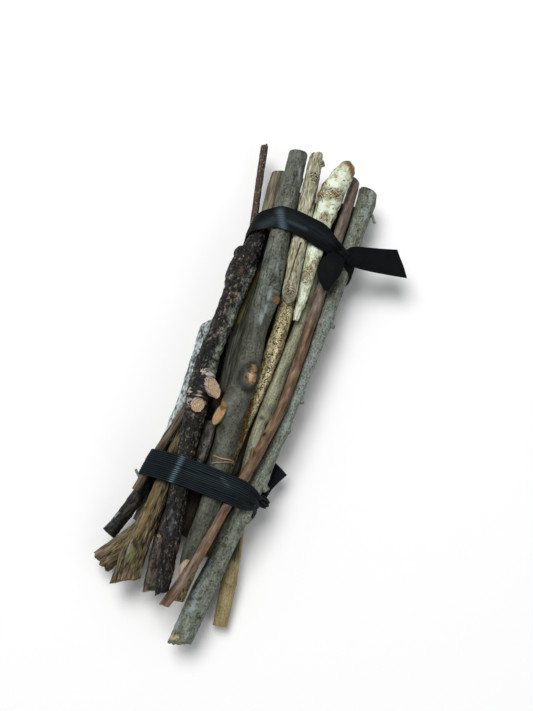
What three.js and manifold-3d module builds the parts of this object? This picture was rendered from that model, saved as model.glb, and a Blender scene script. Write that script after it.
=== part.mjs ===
// A bundle of cut twigs, laid together lengthwise and tied with two black ribbons.
// Millimetres, +Z up. The bundle lies on the surface z = 0 and its length runs along Y.
import * as THREE from 'three';
import { mergeVertices } from 'three/addons/utils/BufferGeometryUtils.js';
import Module from 'manifold-3d';

const wasm = await Module();
wasm.setup();

// Twigs: how close they lie, and how finely their bent stems are stepped.
const TWIG_GAP = 0.5;
const RING_SPACING = 15;
const HIDDEN_RING_SPACING = 24;
const TWIG_SIDES = 10;
const THIN_TWIG = 7;
const THIN_TWIG_SIDES = 8;
const STUB_SIDES = 8;
const BARK_ROUGHNESS = 0.9;

// Ribbons: 5/8 inch grosgrain, one wound near each end.
const RIBBON_WIDTH = 15.5;
const RIBBON_THICKNESS = 0.8;
const RIBBON_CLEARANCE = 0.8;
const RIBBON_FACETS = 40;
const STEEPEST_FACET = 0.2;
// The bundle lies on its ribbons, so the lowest twigs are held up by their thickness. The slack
// lets the undersides come out truly flat.
const FLAT_SLACK = 0.05;
const REST_LIFT = RIBBON_THICKNESS + RIBBON_CLEARANCE - FLAT_SLACK;
// A ribbon is gathered by this share of its width at the knot and within about this angle of it,
// the knot stands out of the band by a share of its size, and loose ends are bent in steps.
const GATHER = 0.5;
const GATHER_ANGLE = 0.35;
const KNOT_STAND_OFF = 0.3;
const TAIL_STEPS = 8;
const TAIL_SPREAD = 0.6;
const RIBBON_COLOUR = '#161a1f';
const RIBBON_ROUGHNESS = 0.6;

// Laying the twigs: rounds of pushing apart, with the stems stiff in all but the last rounds.
const SETTLE_ROUNDS = 900;
const STIFF_SHARE = 0.8;
const SETTLE_DROP = 0.03;
const SIDEWAYS_SHARE = 0.45;
const SEEN_HOLD = 0.06;
const HIDDEN_HOLD = 0.03;

// Every twig from its upper end to its lower end, as [across, along, up, diameter].
// A stub grows at a place along the twig, at an angle round it from +X towards +Z. It leans
// towards +Y, narrows from base to tip, and stands out of the bark. A knob is a lump of
// [round, along, out] on the bark. A slant is [across, up], how far an end is cut askew.
const TWIGS = [
  {
    name: 'grey_right_twig', colour: '#6a7068',
    path: [[20, 124, 20, 12.5], [22, 96, 22, 11], [24, 46, 26, 9.5], [25, 4, 28, 7.5],
      [24.5, -24, 29, 7], [24, -49, 29, 7.5], [22, -71, 28, 9], [19, -92, 27, 10.5],
      [17.5, -114, 24, 10.5], [15, -135, 21, 13], [13, -165, 18, 13]],
    topSlant: [-0.2, 0], bottomSlant: [0.5, 0.2],
    stubs: [
      { along: 117, around: 10, lean: -50, base: 3.5, tip: 2, out: 4 },
      { along: 33, around: 10, lean: -20, base: 4, tip: 2.5, out: 2.5 },
      { along: -16, around: 10, lean: -40, base: 4, tip: 2.4, out: 2.5 },
      { along: -39, around: 10, lean: 0, base: 4.5, tip: 3, out: 1.2 },
      { along: -70, around: 5, lean: -30, base: 6, tip: 4, out: 3 },
      { along: -92, around: 20, lean: -10, base: 7, tip: 4.5, out: 1.5 },
    ],
  },
  {
    name: 'red_brown_twig', colour: '#7d5c46',
    path: [[11, 127, 21, 6.5], [14, 87, 26, 7], [17, 35, 29, 7], [19, 3, 31, 6], [20, -30, 34, 5.5],
      [17.5, -57, 37, 6], [11.5, -94, 38, 5], [7.5, -122, 35, 5.5], [-0.5, -152, 29, 5.5]],
    topSlant: [-0.6, 0], bottomSlant: [0.4, 0],
    stubs: [{ along: -69, around: 120, lean: 55, base: 2.6, tip: 1.6, out: 7 }],
    knobs: [{ along: -47, around: 80, size: [5, 7, 1] }, { along: -28, around: 60, size: [5, 6, 1] }],
  },
  {
    name: 'main_grey_twig', colour: '#64645a',
    path: [[-27.5, 129, 32, 11.5], [-21, 88, 34, 12.5], [-12, 35, 36, 14.5], [-10, 9, 37, 13],
      [-5.5, -17, 38, 14.5], [-3, -46, 38, 13], [1.5, -81, 38, 12], [4, -109, 35, 11], [2, -133, 31, 10]],
    topSlant: [0, -0.2], bottomSlant: [-0.5, -0.9],
    stubs: [{ along: 31, around: 40, lean: -20, base: 8, tip: 5.4, out: 1.6 }],
    knobs: [{ along: -20, around: 60, size: [8, 14, 1.8] }, { along: -46, around: 135, size: [8, 18, 1.6] }],
  },
  {
    name: 'short_tan_twig', colour: '#a3937a',
    path: [[-16, 128, 30, 8.5], [-11, 100, 32, 9.5], [-6, 70, 33, 9.5], [1, 34, 35, 8.5]],
    topSlant: [0.3, 0.2], bottomSlant: [0, 0.4],
    stubs: [{ along: 123, around: 15, lean: 20, base: 4, tip: 2.6, out: 2 }],
    knobs: [{ along: 39, around: 110, size: [5, 7, 0.9] }],
  },
  {
    name: 'birch_twig', colour: '#c6c4ac',
    path: [[4.5, 132, 27, 10.5], [3.5, 124, 27.5, 14], [1.5, 113, 28.5, 15], [1, 102, 29, 14.5],
      [3, 80, 30, 11.5], [5.5, 57, 30, 8.5], [7.5, 40, 30, 7], [9, 24, 30, 2.5]],
    topSlant: [-0.2, 0], bottomSlant: [0, 0],
    stubs: [{ along: 105, around: 150, lean: -10, base: 4.5, tip: 3, out: 1.4 }],
  },
  {
    name: 'black_mottled_twig', colour: '#2c2825',
    path: [[-31, 71, 26, 9.5], [-30.5, 47, 28, 14], [-30.5, 24, 30, 12.5], [-30, -11, 33, 12.5],
      [-28.5, -29, 35, 12.5], [-24, -49, 37, 11.5], [-20.5, -71, 38, 10.5], [-14, -101, 36, 10],
      [-8.5, -122, 33, 9.5], [-4, -144, 29, 7]],
    topSlant: [0.3, 0], bottomSlant: [0.6, 0],
    stubs: [
      { along: 50, around: 165, lean: 25, base: 13, tip: 9, out: 3.5 },
      { along: -24, around: 45, lean: -42, base: 11, tip: 9, out: 4 },
      { along: -41, around: 92, lean: -30, base: 12, tip: 8.5, out: 3.5 },
    ],
    knobs: [{ along: -33, around: 130, size: [10, 12, 1.5] }, { along: 38, around: 170, size: [9, 12, 1.5] }],
  },
  {
    name: 'thin_dark_twig', colour: '#4b3c37',
    path: [[-52, 133, 17, 5], [-43.5, 97, 15, 4.5], [-34.5, 61, 13, 4.5], [-23, 20, 12, 4.5]],
    topSlant: [0.2, 0], bottomSlant: [0.2, 0],
  },
  {
    name: 'brown_back_twig', colour: '#6b5a48',
    path: [[-35, 116, 19, 11.5], [-31, 86, 17, 11.5], [-21.5, 39, 19, 11], [-19.5, 3, 24, 10],
      [-14, -29, 27, 8]],
    topSlant: [0.15, 0], bottomSlant: [0, 0.3],
  },
  {
    name: 'silver_twig', colour: '#9aa3a2',
    path: [[-39.5, 4, 19, 8.5], [-35.5, -22, 19, 9], [-34, -48, 18, 9], [-35, -73, 17, 8.5],
      [-37.5, -94, 16, 8.5], [-41.5, -111, 15, 8], [-46.5, -126, 13, 8]],
    topSlant: [0.8, 0], bottomSlant: [0, 0.2],
  },
  {
    name: 'left_brown_twig', colour: '#6e5f50',
    path: [[-29, -42, 27, 4.5], [-32, -60, 28, 5], [-35.5, -75, 28, 5], [-39.5, -100, 24, 4.5]],
    topSlant: [0, 0], bottomSlant: [0.2, 0],
    stubs: [{ along: -96, around: 185, lean: 10, base: 2.6, tip: 1.8, out: 5 }],
  },
  {
    name: 'forked_brown_twig', colour: '#6e5e46',
    path: [[-28, -47, 25, 7.5], [-28, -64, 28, 8.5], [-26, -96, 31, 9], [-26, -110, 28, 11],
      [-27.5, -126, 24, 12.5], [-28.5, -136, 20, 15.5], [-27.5, -146, 18, 15.5]],
    topSlant: [0, 0], bottomSlant: [0.15, 0.2],
    fork: [[-25.5, -106, 27, 7], [-31, -122, 20, 11], [-37.5, -132, 15.5, 12.5], [-45, -142.5, 12, 13]],
  },
  {
    name: 'mauve_twig', colour: '#5a504e',
    path: [[-15, -50, 26, 7], [-12.5, -67, 26, 7], [-15, -88, 25, 6.5], [-20, -109, 22, 6.5],
      [-18, -124, 20, 7.5], [-13.5, -146, 18, 8]],
    topSlant: [0, 0], bottomSlant: [0.3, 0],
    stubs: [{ along: -116, around: 70, lean: 0, base: 4.5, tip: 3.4, out: 1 }],
  },
  {
    name: 'olive_cane_twig', colour: '#8c7f58',
    path: [[8, 64, 21, 6], [12, 30, 21, 6.5], [11.5, 9, 22, 7.5], [12.5, -19, 23, 9], [12.5, -44, 23, 9],
      [15.5, -72, 20, 9], [20.5, -103, 15, 8.5], [25.5, -124, 11, 9], [29.5, -150, 7, 8.5]],
    topSlant: [0, 0], bottomSlant: [0.1, 0],
  },
  {
    name: 'speckled_tan_twig', colour: '#968659',
    path: [[-4, 62, 25, 8.5], [1.5, 29, 26, 9.5], [3.5, 4, 27, 10], [3.5, -23, 28, 8.5], [2.5, -49, 27, 8],
      [2.5, -77, 26, 7.5], [4.5, -115, 22, 7], [4.5, -147, 18, 5.5]],
    topSlant: [0, 0], bottomSlant: [0.2, 0],
  },
  {
    name: 'under_left_twig', colour: '#55524a', hidden: true,
    path: [[-34, 104, 7, 10], [-33, 20, 7, 11.5], [-31, -60, 7, 13], [-30, -114, 7, 13.5]],
    topSlant: [0.1, 0], bottomSlant: [-0.1, 0],
  },
  {
    name: 'under_middle_left_twig', colour: '#6d6250', hidden: true,
    path: [[-22, 112, 8, 13], [-20, 30, 7.5, 13], [-18, -50, 7, 11.5], [-16.5, -122, 7, 10]],
    topSlant: [-0.2, 0], bottomSlant: [0.1, 0],
  },
  {
    name: 'under_middle_twig', colour: '#5e5a50', hidden: true,
    path: [[-10, 96, 7, 10.5], [-7, 20, 7, 11.5], [-6, -60, 7.5, 12.5], [-5, -106, 7.5, 13]],
    topSlant: [0.2, 0], bottomSlant: [0.2, 0],
  },
  {
    name: 'under_middle_right_twig', colour: '#7a6a55', hidden: true,
    path: [[2, 114, 7.5, 12.5], [5.5, 30, 7, 12], [6.5, -50, 7, 11], [7.5, -118, 6.5, 9.5]],
    topSlant: [0, 0], bottomSlant: [-0.2, 0],
  },
  {
    name: 'under_right_twig', colour: '#625c4e', hidden: true,
    path: [[14, 106, 6, 8.5], [17, 20, 6.5, 9.5], [18, -40, 6.5, 10.5], [18.5, -96, 6.5, 10]],
    topSlant: [0.1, 0], bottomSlant: [0.1, 0],
  },
  {
    name: 'inner_left_twig', colour: '#5b5044', hidden: true,
    path: [[-37, 40, 17, 9], [-30, -20, 17, 10], [-27, -70, 17, 10], [-26, -112, 16, 9]],
    topSlant: [0.1, 0], bottomSlant: [0.1, 0],
  },
  {
    name: 'inner_upper_twig', colour: '#5d5648', hidden: true,
    path: [[-24, 116, 19, 8], [-21, 86, 19, 8], [-18, 54, 19, 7.5]],
    topSlant: [0.1, 0], bottomSlant: [0.1, 0],
  },
  {
    name: 'inner_middle_twig', colour: '#665d4c', hidden: true,
    path: [[-12, 104, 17, 12], [-9, 30, 17, 12], [-8, -30, 17, 11.5], [-9, -70, 17, 11], [-9, -114, 17, 10]],
    topSlant: [0.1, 0], bottomSlant: [0.1, 0],
  },
  {
    name: 'inner_centre_twig', colour: '#6a5f4f', hidden: true,
    path: [[1, 110, 17, 11.5], [3, 30, 17, 11], [4, -40, 17, 11], [4, -112, 17, 10.5]],
    topSlant: [0.1, 0], bottomSlant: [0.1, 0],
  },
  {
    name: 'inner_right_twig', colour: '#6b665a', hidden: true,
    path: [[13, 112, 15, 10.5], [17, 30, 16, 11], [17.5, -10, 16, 11], [17.5, -46, 15, 9.5]],
    topSlant: [0.1, 0], bottomSlant: [0.1, 0],
  },
];

// Each ribbon's plane crosses the bundle at this place along it, leaning with height, round this
// [across, up] middle. The knot sits at an angle round the bundle, and its size is [out, along,
// round]. Loose ends run from the knot through the points given, each cut off askew.
const RIBBONS = [
  {
    name: 'upper_ribbon', along: 59.5, perHeight: 0.45, middle: [-7, 20], knotAngle: 25, knotSize: [7, 9, 8],
    tails: [
      { points: [[36, 79, 31], [48, 82, 28], [62, 85, 24]], across: [0.2, -0.95, -0.2], skew: 0.35 },
      { points: [[22, 65, 38], [21, 57, 38.5], [22, 47, 38]], across: [0.93, 0.25, -0.25], skew: -0.45 },
    ],
  },
  {
    name: 'lower_ribbon', along: -84, perHeight: 0, middle: [-7, 21], knotAngle: 6, knotSize: [7, 10, 9],
    tails: [
      { points: [[28.5, -72, 18], [28, -64, 16], [27.5, -57, 15]], across: [0.88, -0.41, -0.23], skew: 0 },
    ],
  },
];

// Smooth value of one column of a path at a place along it: a cubic through the given stations.
function valueAlong(path, column, along) {
  const last = path.length - 1;
  let k = 0;
  while (k < last - 1 && along < path[k + 1][1]) k += 1;
  const slopeAt = (i) => {
    const before = path[Math.max(i - 1, 0)];
    const after = path[Math.min(i + 1, last)];
    return (after[column] - before[column]) / (after[1] - before[1]);
  };
  const span = path[k + 1][1] - path[k][1];
  const t = (along - path[k][1]) / span;
  const h = 2 * t ** 3 - 3 * t ** 2 + 1;
  const rise = (t ** 3 - 2 * t ** 2 + t) * slopeAt(k) + (t ** 3 - t ** 2) * slopeAt(k + 1);
  return h * path[k][column] + (1 - h) * path[k + 1][column] + rise * span;
}

// Rings along a path, evenly spaced in Y from the upper end to the lower end.
function ringsOf(path, spacing = RING_SPACING) {
  const top = path[0][1];
  const bottom = path[path.length - 1][1];
  const steps = Math.max(3, Math.round((top - bottom) / spacing));
  return Array.from({ length: steps + 1 }, (_, k) => {
    const y = top + (bottom - top) * k / steps;
    const x = valueAlong(path, 0, y);
    const z = valueAlong(path, 2, y);
    return { x, y, z, homeX: x, homeZ: z, radius: valueAlong(path, 3, y) / 2 };
  });
}

// Place on a twig at a given y: the two rings beside it, the share of each, and the centre.
function placeOn(rings, y) {
  const steps = rings.length - 1;
  const at = (rings[0].y - y) / (rings[0].y - rings[steps].y) * steps;
  if (at < -1e-6 || at > steps + 1e-6) return null;
  const k = Math.min(Math.max(Math.floor(at), 0), steps - 1);
  const share = at - k;
  const [a, b] = [rings[k], rings[k + 1]];
  const mix = (key) => a[key] * (1 - share) + b[key] * share;
  const stretch = Math.hypot(1, (a.x - b.x) / (a.y - b.y), (a.z - b.z) / (a.y - b.y));
  return { a, b, share, x: mix('x'), z: mix('z'), radius: mix('radius') * stretch };
}

// Pushes one ring and the neighbouring twig at the same y apart until they clear each other.
function pushApart(ring, own, other) {
  const across = ring.x - other.x;
  const rise = ring.z - other.z;
  const distance = Math.hypot(across, rise);
  const need = own.radius + other.radius + TWIG_GAP;
  if (distance >= need) return;
  const push = (need - distance) / distance / 2;
  ring.x += across * push * SIDEWAYS_SHARE;
  ring.z += rise * push;
  for (const [part, share] of [[other.a, 1 - other.share], [other.b, other.share]]) {
    part.x -= across * push * SIDEWAYS_SHARE * share;
    part.z -= rise * push * share;
  }
}

// A stem is stiff, so each ring's shift is evened out with its neighbours' shifts.
function stiffen(rings) {
  const shifts = rings.map((ring) => [ring.x - ring.homeX, ring.z - ring.homeZ]);
  rings.forEach((ring, k) => {
    const before = shifts[Math.max(k - 1, 0)];
    const after = shifts[Math.min(k + 1, rings.length - 1)];
    ring.x = ring.homeX + (before[0] + 2 * shifts[k][0] + after[0]) / 4;
    ring.z = ring.homeZ + (before[1] + 2 * shifts[k][1] + after[1]) / 4;
  });
}

// Lays the twigs down on the surface and on each other, each held near the place it is seen at.
function settle(twigs) {
  for (let round = 0; round < SETTLE_ROUNDS; round += 1) {
    const stiff = round < SETTLE_ROUNDS * STIFF_SHARE;
    for (const twig of twigs) {
      for (const ring of twig.rings) {
        const hold = twig.hidden ? HIDDEN_HOLD : SEEN_HOLD;
        ring.x += stiff ? (ring.homeX - ring.x) * hold : 0;
        ring.z -= stiff ? SETTLE_DROP : 0;
      }
    }
    for (const twig of twigs) {
      for (const other of twigs) {
        if (other === twig) continue;
        for (const ring of twig.rings) {
          const there = placeOn(other.rings, ring.y);
          if (there) pushApart(ring, placeOn(twig.rings, ring.y), there);
        }
      }
    }
    for (const twig of twigs) {
      if (stiff) stiffen(twig.rings);
      for (const ring of twig.rings) ring.z = Math.max(ring.z, ring.radius + REST_LIFT);
    }
  }
}

// Closed solid from a geometry: only positions kept, shared corners merged.
function solidOf(geometry) {
  const bare = geometry.clone();
  bare.deleteAttribute('normal');
  bare.deleteAttribute('uv');
  const merged = mergeVertices(bare, 1e-4);
  const vertProperties = new Float32Array(merged.attributes.position.array);
  const triVerts = new Uint32Array(merged.index.array);
  const mesh = new wasm.Mesh({ numProp: 3, vertProperties, triVerts });
  mesh.merge();
  return new wasm.Manifold(mesh);
}

function geometryOf(solid) {
  const { vertProperties, triVerts } = solid.getMesh();
  const geometry = new THREE.BufferGeometry();
  geometry.setAttribute('position', new THREE.BufferAttribute(vertProperties, 3));
  geometry.setIndex(new THREE.BufferAttribute(triVerts, 1));
  geometry.computeVertexNormals();
  return geometry;
}

// Axes of a twig at ring k: along it, to its side and up from it.
function axesAt(rings, k) {
  const before = rings[Math.min(k + 1, rings.length - 1)];
  const after = rings[Math.max(k - 1, 0)];
  const along = new THREE.Vector3(after.x - before.x, after.y - before.y, after.z - before.z).normalize();
  const side = new THREE.Vector3().crossVectors(along, new THREE.Vector3(0, 0, 1)).normalize();
  const up = new THREE.Vector3().crossVectors(side, along);
  return { along, side, up };
}

// A stem: a cylinder bent along its rings, its ends cut askew by the slants.
function stem(rings, sides, topSlant, bottomSlant) {
  const steps = rings.length - 1;
  const geometry = new THREE.CylinderGeometry(1, 1, 1, sides, steps);
  const position = geometry.attributes.position;
  const point = new THREE.Vector3();
  for (let i = 0; i < position.count; i += 1) {
    const k = Math.round((0.5 - position.getY(i)) * steps);
    const ring = rings[k];
    const { along, side, up } = axesAt(rings, k);
    const [across, rise] = [position.getX(i) * ring.radius, position.getZ(i) * ring.radius];
    const [slantAcross, slantUp] = k === 0 ? topSlant : k === steps ? bottomSlant : [0, 0];
    point.set(ring.x, ring.y, ring.z);
    point.addScaledVector(side, across).addScaledVector(up, rise);
    point.addScaledVector(along, across * slantAcross + rise * slantUp);
    position.setXYZ(i, point.x, point.y, point.z);
  }
  return solidOf(geometry);
}

// Centre, radius and outward direction on a twig at a place along it and an angle round it.
function spotOn(rings, along, around) {
  const place = placeOn(rings, along);
  const k = rings.indexOf(place.a);
  const axes = axesAt(rings, k);
  const angle = THREE.MathUtils.degToRad(around);
  const outward = new THREE.Vector3();
  outward.addScaledVector(axes.side, Math.cos(angle)).addScaledVector(axes.up, Math.sin(angle));
  return { centre: new THREE.Vector3(place.x, along, place.z), outward, axes, radius: place.radius };
}

// The cut-off base of a side branch.
function stubOn(rings, { along, around, lean, base, tip, out }) {
  const { centre, outward, axes, radius } = spotOn(rings, along, around);
  const leaning = THREE.MathUtils.degToRad(lean);
  const direction = outward.clone().multiplyScalar(Math.cos(leaning));
  direction.addScaledVector(axes.along, Math.sin(leaning));
  const length = radius / Math.cos(leaning) + out;
  const geometry = new THREE.CylinderGeometry(tip / 2, base / 2, length, STUB_SIDES);
  geometry.translate(0, length / 2, 0);
  geometry.applyQuaternion(new THREE.Quaternion().setFromUnitVectors(THREE.Object3D.DEFAULT_UP, direction));
  geometry.translate(centre.x, centre.y, centre.z);
  return solidOf(geometry);
}

// A lump in the bark, such as a healed knot.
function knobOn(rings, { along, around, size }) {
  const { centre, outward, axes, radius } = spotOn(rings, along, around);
  const sideways = new THREE.Vector3().crossVectors(axes.along, outward);
  const [round, length, out] = size;
  const geometry = new THREE.SphereGeometry(0.5, 8, 6);
  geometry.scale(round, length, out * 4);
  geometry.applyMatrix4(new THREE.Matrix4().makeBasis(sideways, axes.along, outward));
  centre.addScaledVector(outward, radius - out);
  geometry.translate(centre.x, centre.y, centre.z);
  return solidOf(geometry);
}

function twigSolid(twig) {
  const thin = Math.max(...twig.path.map((station) => station[3])) <= THIN_TWIG;
  const sides = thin || twig.hidden ? THIN_TWIG_SIDES : TWIG_SIDES;
  let solid = stem(twig.rings, sides, twig.topSlant, twig.bottomSlant);
  for (const stub of twig.stubs ?? []) solid = solid.add(stubOn(twig.rings, stub));
  for (const knob of twig.knobs ?? []) solid = solid.add(knobOn(twig.rings, knob));
  if (twig.fork) solid = solid.add(stem(ringsOf(twig.fork), sides, [0, 0], [0.1, 0]));
  return solid;
}

// Outline round all twigs in one plane across the bundle: how far out a taut ribbon runs from
// the middle at any angle. Each facet's line touches the outermost twig on its side.
function outlineAt(twigs, ribbon, offset, clearance) {
  const places = [];
  for (const twig of twigs) {
    const [top, bottom] = [twig.rings[0].y, twig.rings[twig.rings.length - 1].y];
    const nearest = (height) => {
      return THREE.MathUtils.clamp(ribbon.along + ribbon.perHeight * height + offset, bottom, top);
    };
    const level = placeOn(twig.rings, nearest(ribbon.middle[1])).z;
    const y = nearest(level);
    const missed = Math.abs(y - ribbon.along - ribbon.perHeight * level - offset);
    if (missed < RIBBON_WIDTH) places.push(placeOn(twig.rings, y));
  }
  const [middleX, middleZ] = ribbon.middle;
  const facets = Array.from({ length: RIBBON_FACETS }, (_, k) => {
    const angle = 2 * Math.PI * k / RIBBON_FACETS;
    const reaches = places.map((place) => (place.x - middleX) * Math.cos(angle)
      + (place.z - middleZ) * Math.sin(angle) + place.radius + clearance);
    return { angle, reach: Math.max(...reaches) };
  });
  return (angle) => {
    const facing = facets.filter((facet) => Math.cos(angle - facet.angle) > STEEPEST_FACET);
    return Math.min(...facing.map((facet) => facet.reach / Math.cos(angle - facet.angle)));
  };
}

// How much of the ribbon's width is left at an angle from its knot, where it is gathered.
function gathered(angleFromKnot) {
  const turn = Math.atan2(Math.sin(angleFromKnot), Math.cos(angleFromKnot));
  return 1 - GATHER * Math.exp(-((turn / GATHER_ANGLE) ** 2));
}

// The taut turn of ribbon: a closed ring whose cross-section is a flat strip.
function bandSolid(twigs, ribbon) {
  const profile = [[1, 0], [2, 0], [2, 0.5], [2, 1], [1, 1], [1, 0.5], [1, 0]];
  const points = profile.map(([layer, across]) => new THREE.Vector2(layer, across));
  const geometry = new THREE.LatheGeometry(points, RIBBON_FACETS);
  const outlines = [RIBBON_CLEARANCE, RIBBON_CLEARANCE + RIBBON_THICKNESS].map((clearance) => {
    return [-0.5, 0, 0.5].map((share) => outlineAt(twigs, ribbon, share * RIBBON_WIDTH, clearance));
  });
  const knotAngle = THREE.MathUtils.degToRad(ribbon.knotAngle);
  const position = geometry.attributes.position;
  for (let i = 0; i < position.count; i += 1) {
    const angle = Math.atan2(position.getZ(i), position.getX(i));
    const layer = Math.round(Math.hypot(position.getX(i), position.getZ(i))) - 1;
    const across = position.getY(i);
    const reach = outlines[layer][Math.round(across * 2)](angle);
    const lowest = RIBBON_THICKNESS * (1 - layer);
    const z = Math.max(ribbon.middle[1] + reach * Math.sin(angle), lowest);
    const width = RIBBON_WIDTH * gathered(angle - knotAngle);
    const y = ribbon.along + ribbon.perHeight * z + (across - 0.5) * width;
    position.setXYZ(i, ribbon.middle[0] + reach * Math.cos(angle), y, z);
  }
  const reach = outlines[1][1](knotAngle) + ribbon.knotSize[0] * KNOT_STAND_OFF;
  const knotZ = ribbon.middle[1] + reach * Math.sin(knotAngle);
  const knotX = ribbon.middle[0] + reach * Math.cos(knotAngle);
  const knotAt = new THREE.Vector3(knotX, ribbon.along + ribbon.perHeight * knotZ, knotZ);
  return { band: solidOf(geometry), knotAt };
}

// The tied lump, flattened against the band.
function knotSolid(ribbon, knotAt) {
  const geometry = new THREE.SphereGeometry(0.5, 12, 8);
  geometry.scale(...ribbon.knotSize);
  geometry.rotateY(-THREE.MathUtils.degToRad(ribbon.knotAngle));
  geometry.translate(knotAt.x, knotAt.y, knotAt.z);
  return solidOf(geometry);
}

// A loose end of ribbon: a flat strip along a curve, gathered at the knot and cut off askew.
function tailSolid(knotAt, { points, across, skew }) {
  const curve = new THREE.CatmullRomCurve3([knotAt, ...points.map((point) => new THREE.Vector3(...point))]);
  const sideways = new THREE.Vector3(...across).normalize();
  const geometry = new THREE.BoxGeometry(1, 1, 1, 2, TAIL_STEPS, 1);
  const position = geometry.attributes.position;
  for (let i = 0; i < position.count; i += 1) {
    const [a, b, c] = [position.getX(i), position.getY(i) + 0.5, position.getZ(i)];
    const run = Math.min(b * (1 + skew * a) / (1 + Math.abs(skew) / 2), 1);
    const tangent = curve.getTangent(run);
    const normal = new THREE.Vector3().crossVectors(sideways, tangent).normalize();
    const width = RIBBON_WIDTH * (1 - GATHER * (1 - THREE.MathUtils.smoothstep(b, 0, TAIL_SPREAD)));
    const point = curve.getPoint(run);
    point.addScaledVector(sideways, a * width).addScaledVector(normal, c * RIBBON_THICKNESS);
    position.setXYZ(i, point.x, point.y, point.z);
  }
  return solidOf(geometry);
}

function ribbonSolid(twigs, ribbon) {
  const { band, knotAt } = bandSolid(twigs, ribbon);
  let solid = band.add(knotSolid(ribbon, knotAt));
  for (const tail of ribbon.tails) solid = solid.add(tailSolid(knotAt, tail));
  return solid;
}

function meshOf(name, solid, colour, roughness) {
  const material = new THREE.MeshStandardMaterial({ color: colour, roughness, metalness: 0 });
  const mesh = new THREE.Mesh(geometryOf(solid), material);
  mesh.name = name;
  return mesh;
}

const bundle = new THREE.Group();
const twigs = TWIGS.map((twig) => {
  return { ...twig, rings: ringsOf(twig.path, twig.hidden ? HIDDEN_RING_SPACING : RING_SPACING) };
});
settle(twigs);

for (const twig of twigs) {
  bundle.add(meshOf(twig.name, twigSolid(twig), twig.colour, BARK_ROUGHNESS));
}
for (const ribbon of RIBBONS) {
  bundle.add(meshOf(ribbon.name, ribbonSolid(twigs, ribbon), RIBBON_COLOUR, RIBBON_ROUGHNESS));
}

// The origin is on the surface, under the middle of the bundle's box.
const middle = new THREE.Box3().setFromObject(bundle).getCenter(new THREE.Vector3());
bundle.position.set(-middle.x, -middle.y, 0);
bundle.updateMatrixWorld(true);

export default bundle;
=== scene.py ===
import math

import bpy
import numpy as np
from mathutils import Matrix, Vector, noise
from mathutils.bvhtree import BVHTree


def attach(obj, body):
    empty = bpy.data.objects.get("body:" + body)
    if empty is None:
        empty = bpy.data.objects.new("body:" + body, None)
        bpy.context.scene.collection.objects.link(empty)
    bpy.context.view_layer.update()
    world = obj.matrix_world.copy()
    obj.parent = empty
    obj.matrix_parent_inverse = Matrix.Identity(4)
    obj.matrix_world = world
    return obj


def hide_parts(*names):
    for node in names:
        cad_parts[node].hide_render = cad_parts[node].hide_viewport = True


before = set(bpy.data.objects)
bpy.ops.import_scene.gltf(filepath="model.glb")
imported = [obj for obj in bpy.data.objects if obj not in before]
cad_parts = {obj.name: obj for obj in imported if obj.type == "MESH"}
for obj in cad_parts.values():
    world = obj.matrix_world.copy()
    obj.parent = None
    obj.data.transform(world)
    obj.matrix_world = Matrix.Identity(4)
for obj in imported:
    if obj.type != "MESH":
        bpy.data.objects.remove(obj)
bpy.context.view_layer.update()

# Viewpoint: the bundle lies on a pale table and is looked down on, a little from its lower end.
# Marks on the bark are named by where they are seen from here, in pixels across and down.
PICTURE_WIDTH, PICTURE_HEIGHT = 533, 711
VIEW_AZIMUTH, VIEW_ELEVATION = math.radians(20.8), math.radians(72)
VIEW_DISTANCE = 0.56
VIEW_AIM = Vector((-0.0047, 0.0169, 0.0255))
LENS_MM, SENSOR_MM = 48.3, 36.0

towards_camera = Vector((
    math.sin(VIEW_AZIMUTH) * math.cos(VIEW_ELEVATION),
    -math.cos(VIEW_AZIMUTH) * math.cos(VIEW_ELEVATION),
    math.sin(VIEW_ELEVATION),
))
camera_data = bpy.data.cameras.new("viewpoint")
camera_data.lens = LENS_MM
camera_data.sensor_width = SENSOR_MM
camera = bpy.data.objects.new("viewpoint", camera_data)
camera.location = VIEW_AIM + VIEW_DISTANCE * towards_camera
camera.rotation_mode = "QUATERNION"
camera.rotation_quaternion = (-towards_camera).to_track_quat("-Z", "Y")
bpy.context.scene.collection.objects.link(camera)
bpy.context.scene.camera = camera

eye = np.array(camera.location)
eye_ahead = -np.array(towards_camera)
eye_right = np.array(towards_camera.cross(Vector((0, 0, -1))).normalized())
eye_up = np.cross(eye_right, eye_ahead)
FOCAL_PIXELS = LENS_MM / SENSOR_MM * PICTURE_HEIGHT
PICTURE_MIDDLE = np.array((PICTURE_WIDTH / 2, PICTURE_HEIGHT / 2))


def seen_at(points):
    """Pixels at which points are seen, and how many pixels a metre takes up there."""
    away = points - eye
    scale = FOCAL_PIXELS / (away @ eye_ahead)
    offset = np.stack([away @ eye_right, -(away @ eye_up)], axis=-1)
    return PICTURE_MIDDLE + offset * scale[..., None], scale


def point_behind(across, down, height):
    """The point at that height, in metres, that a pixel shows."""
    right, drop = np.array((across, down)) - PICTURE_MIDDLE
    ray = eye_ahead * FOCAL_PIXELS + eye_right * right - eye_up * drop
    return eye + ray * (height - eye[2]) / ray[2]


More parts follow.
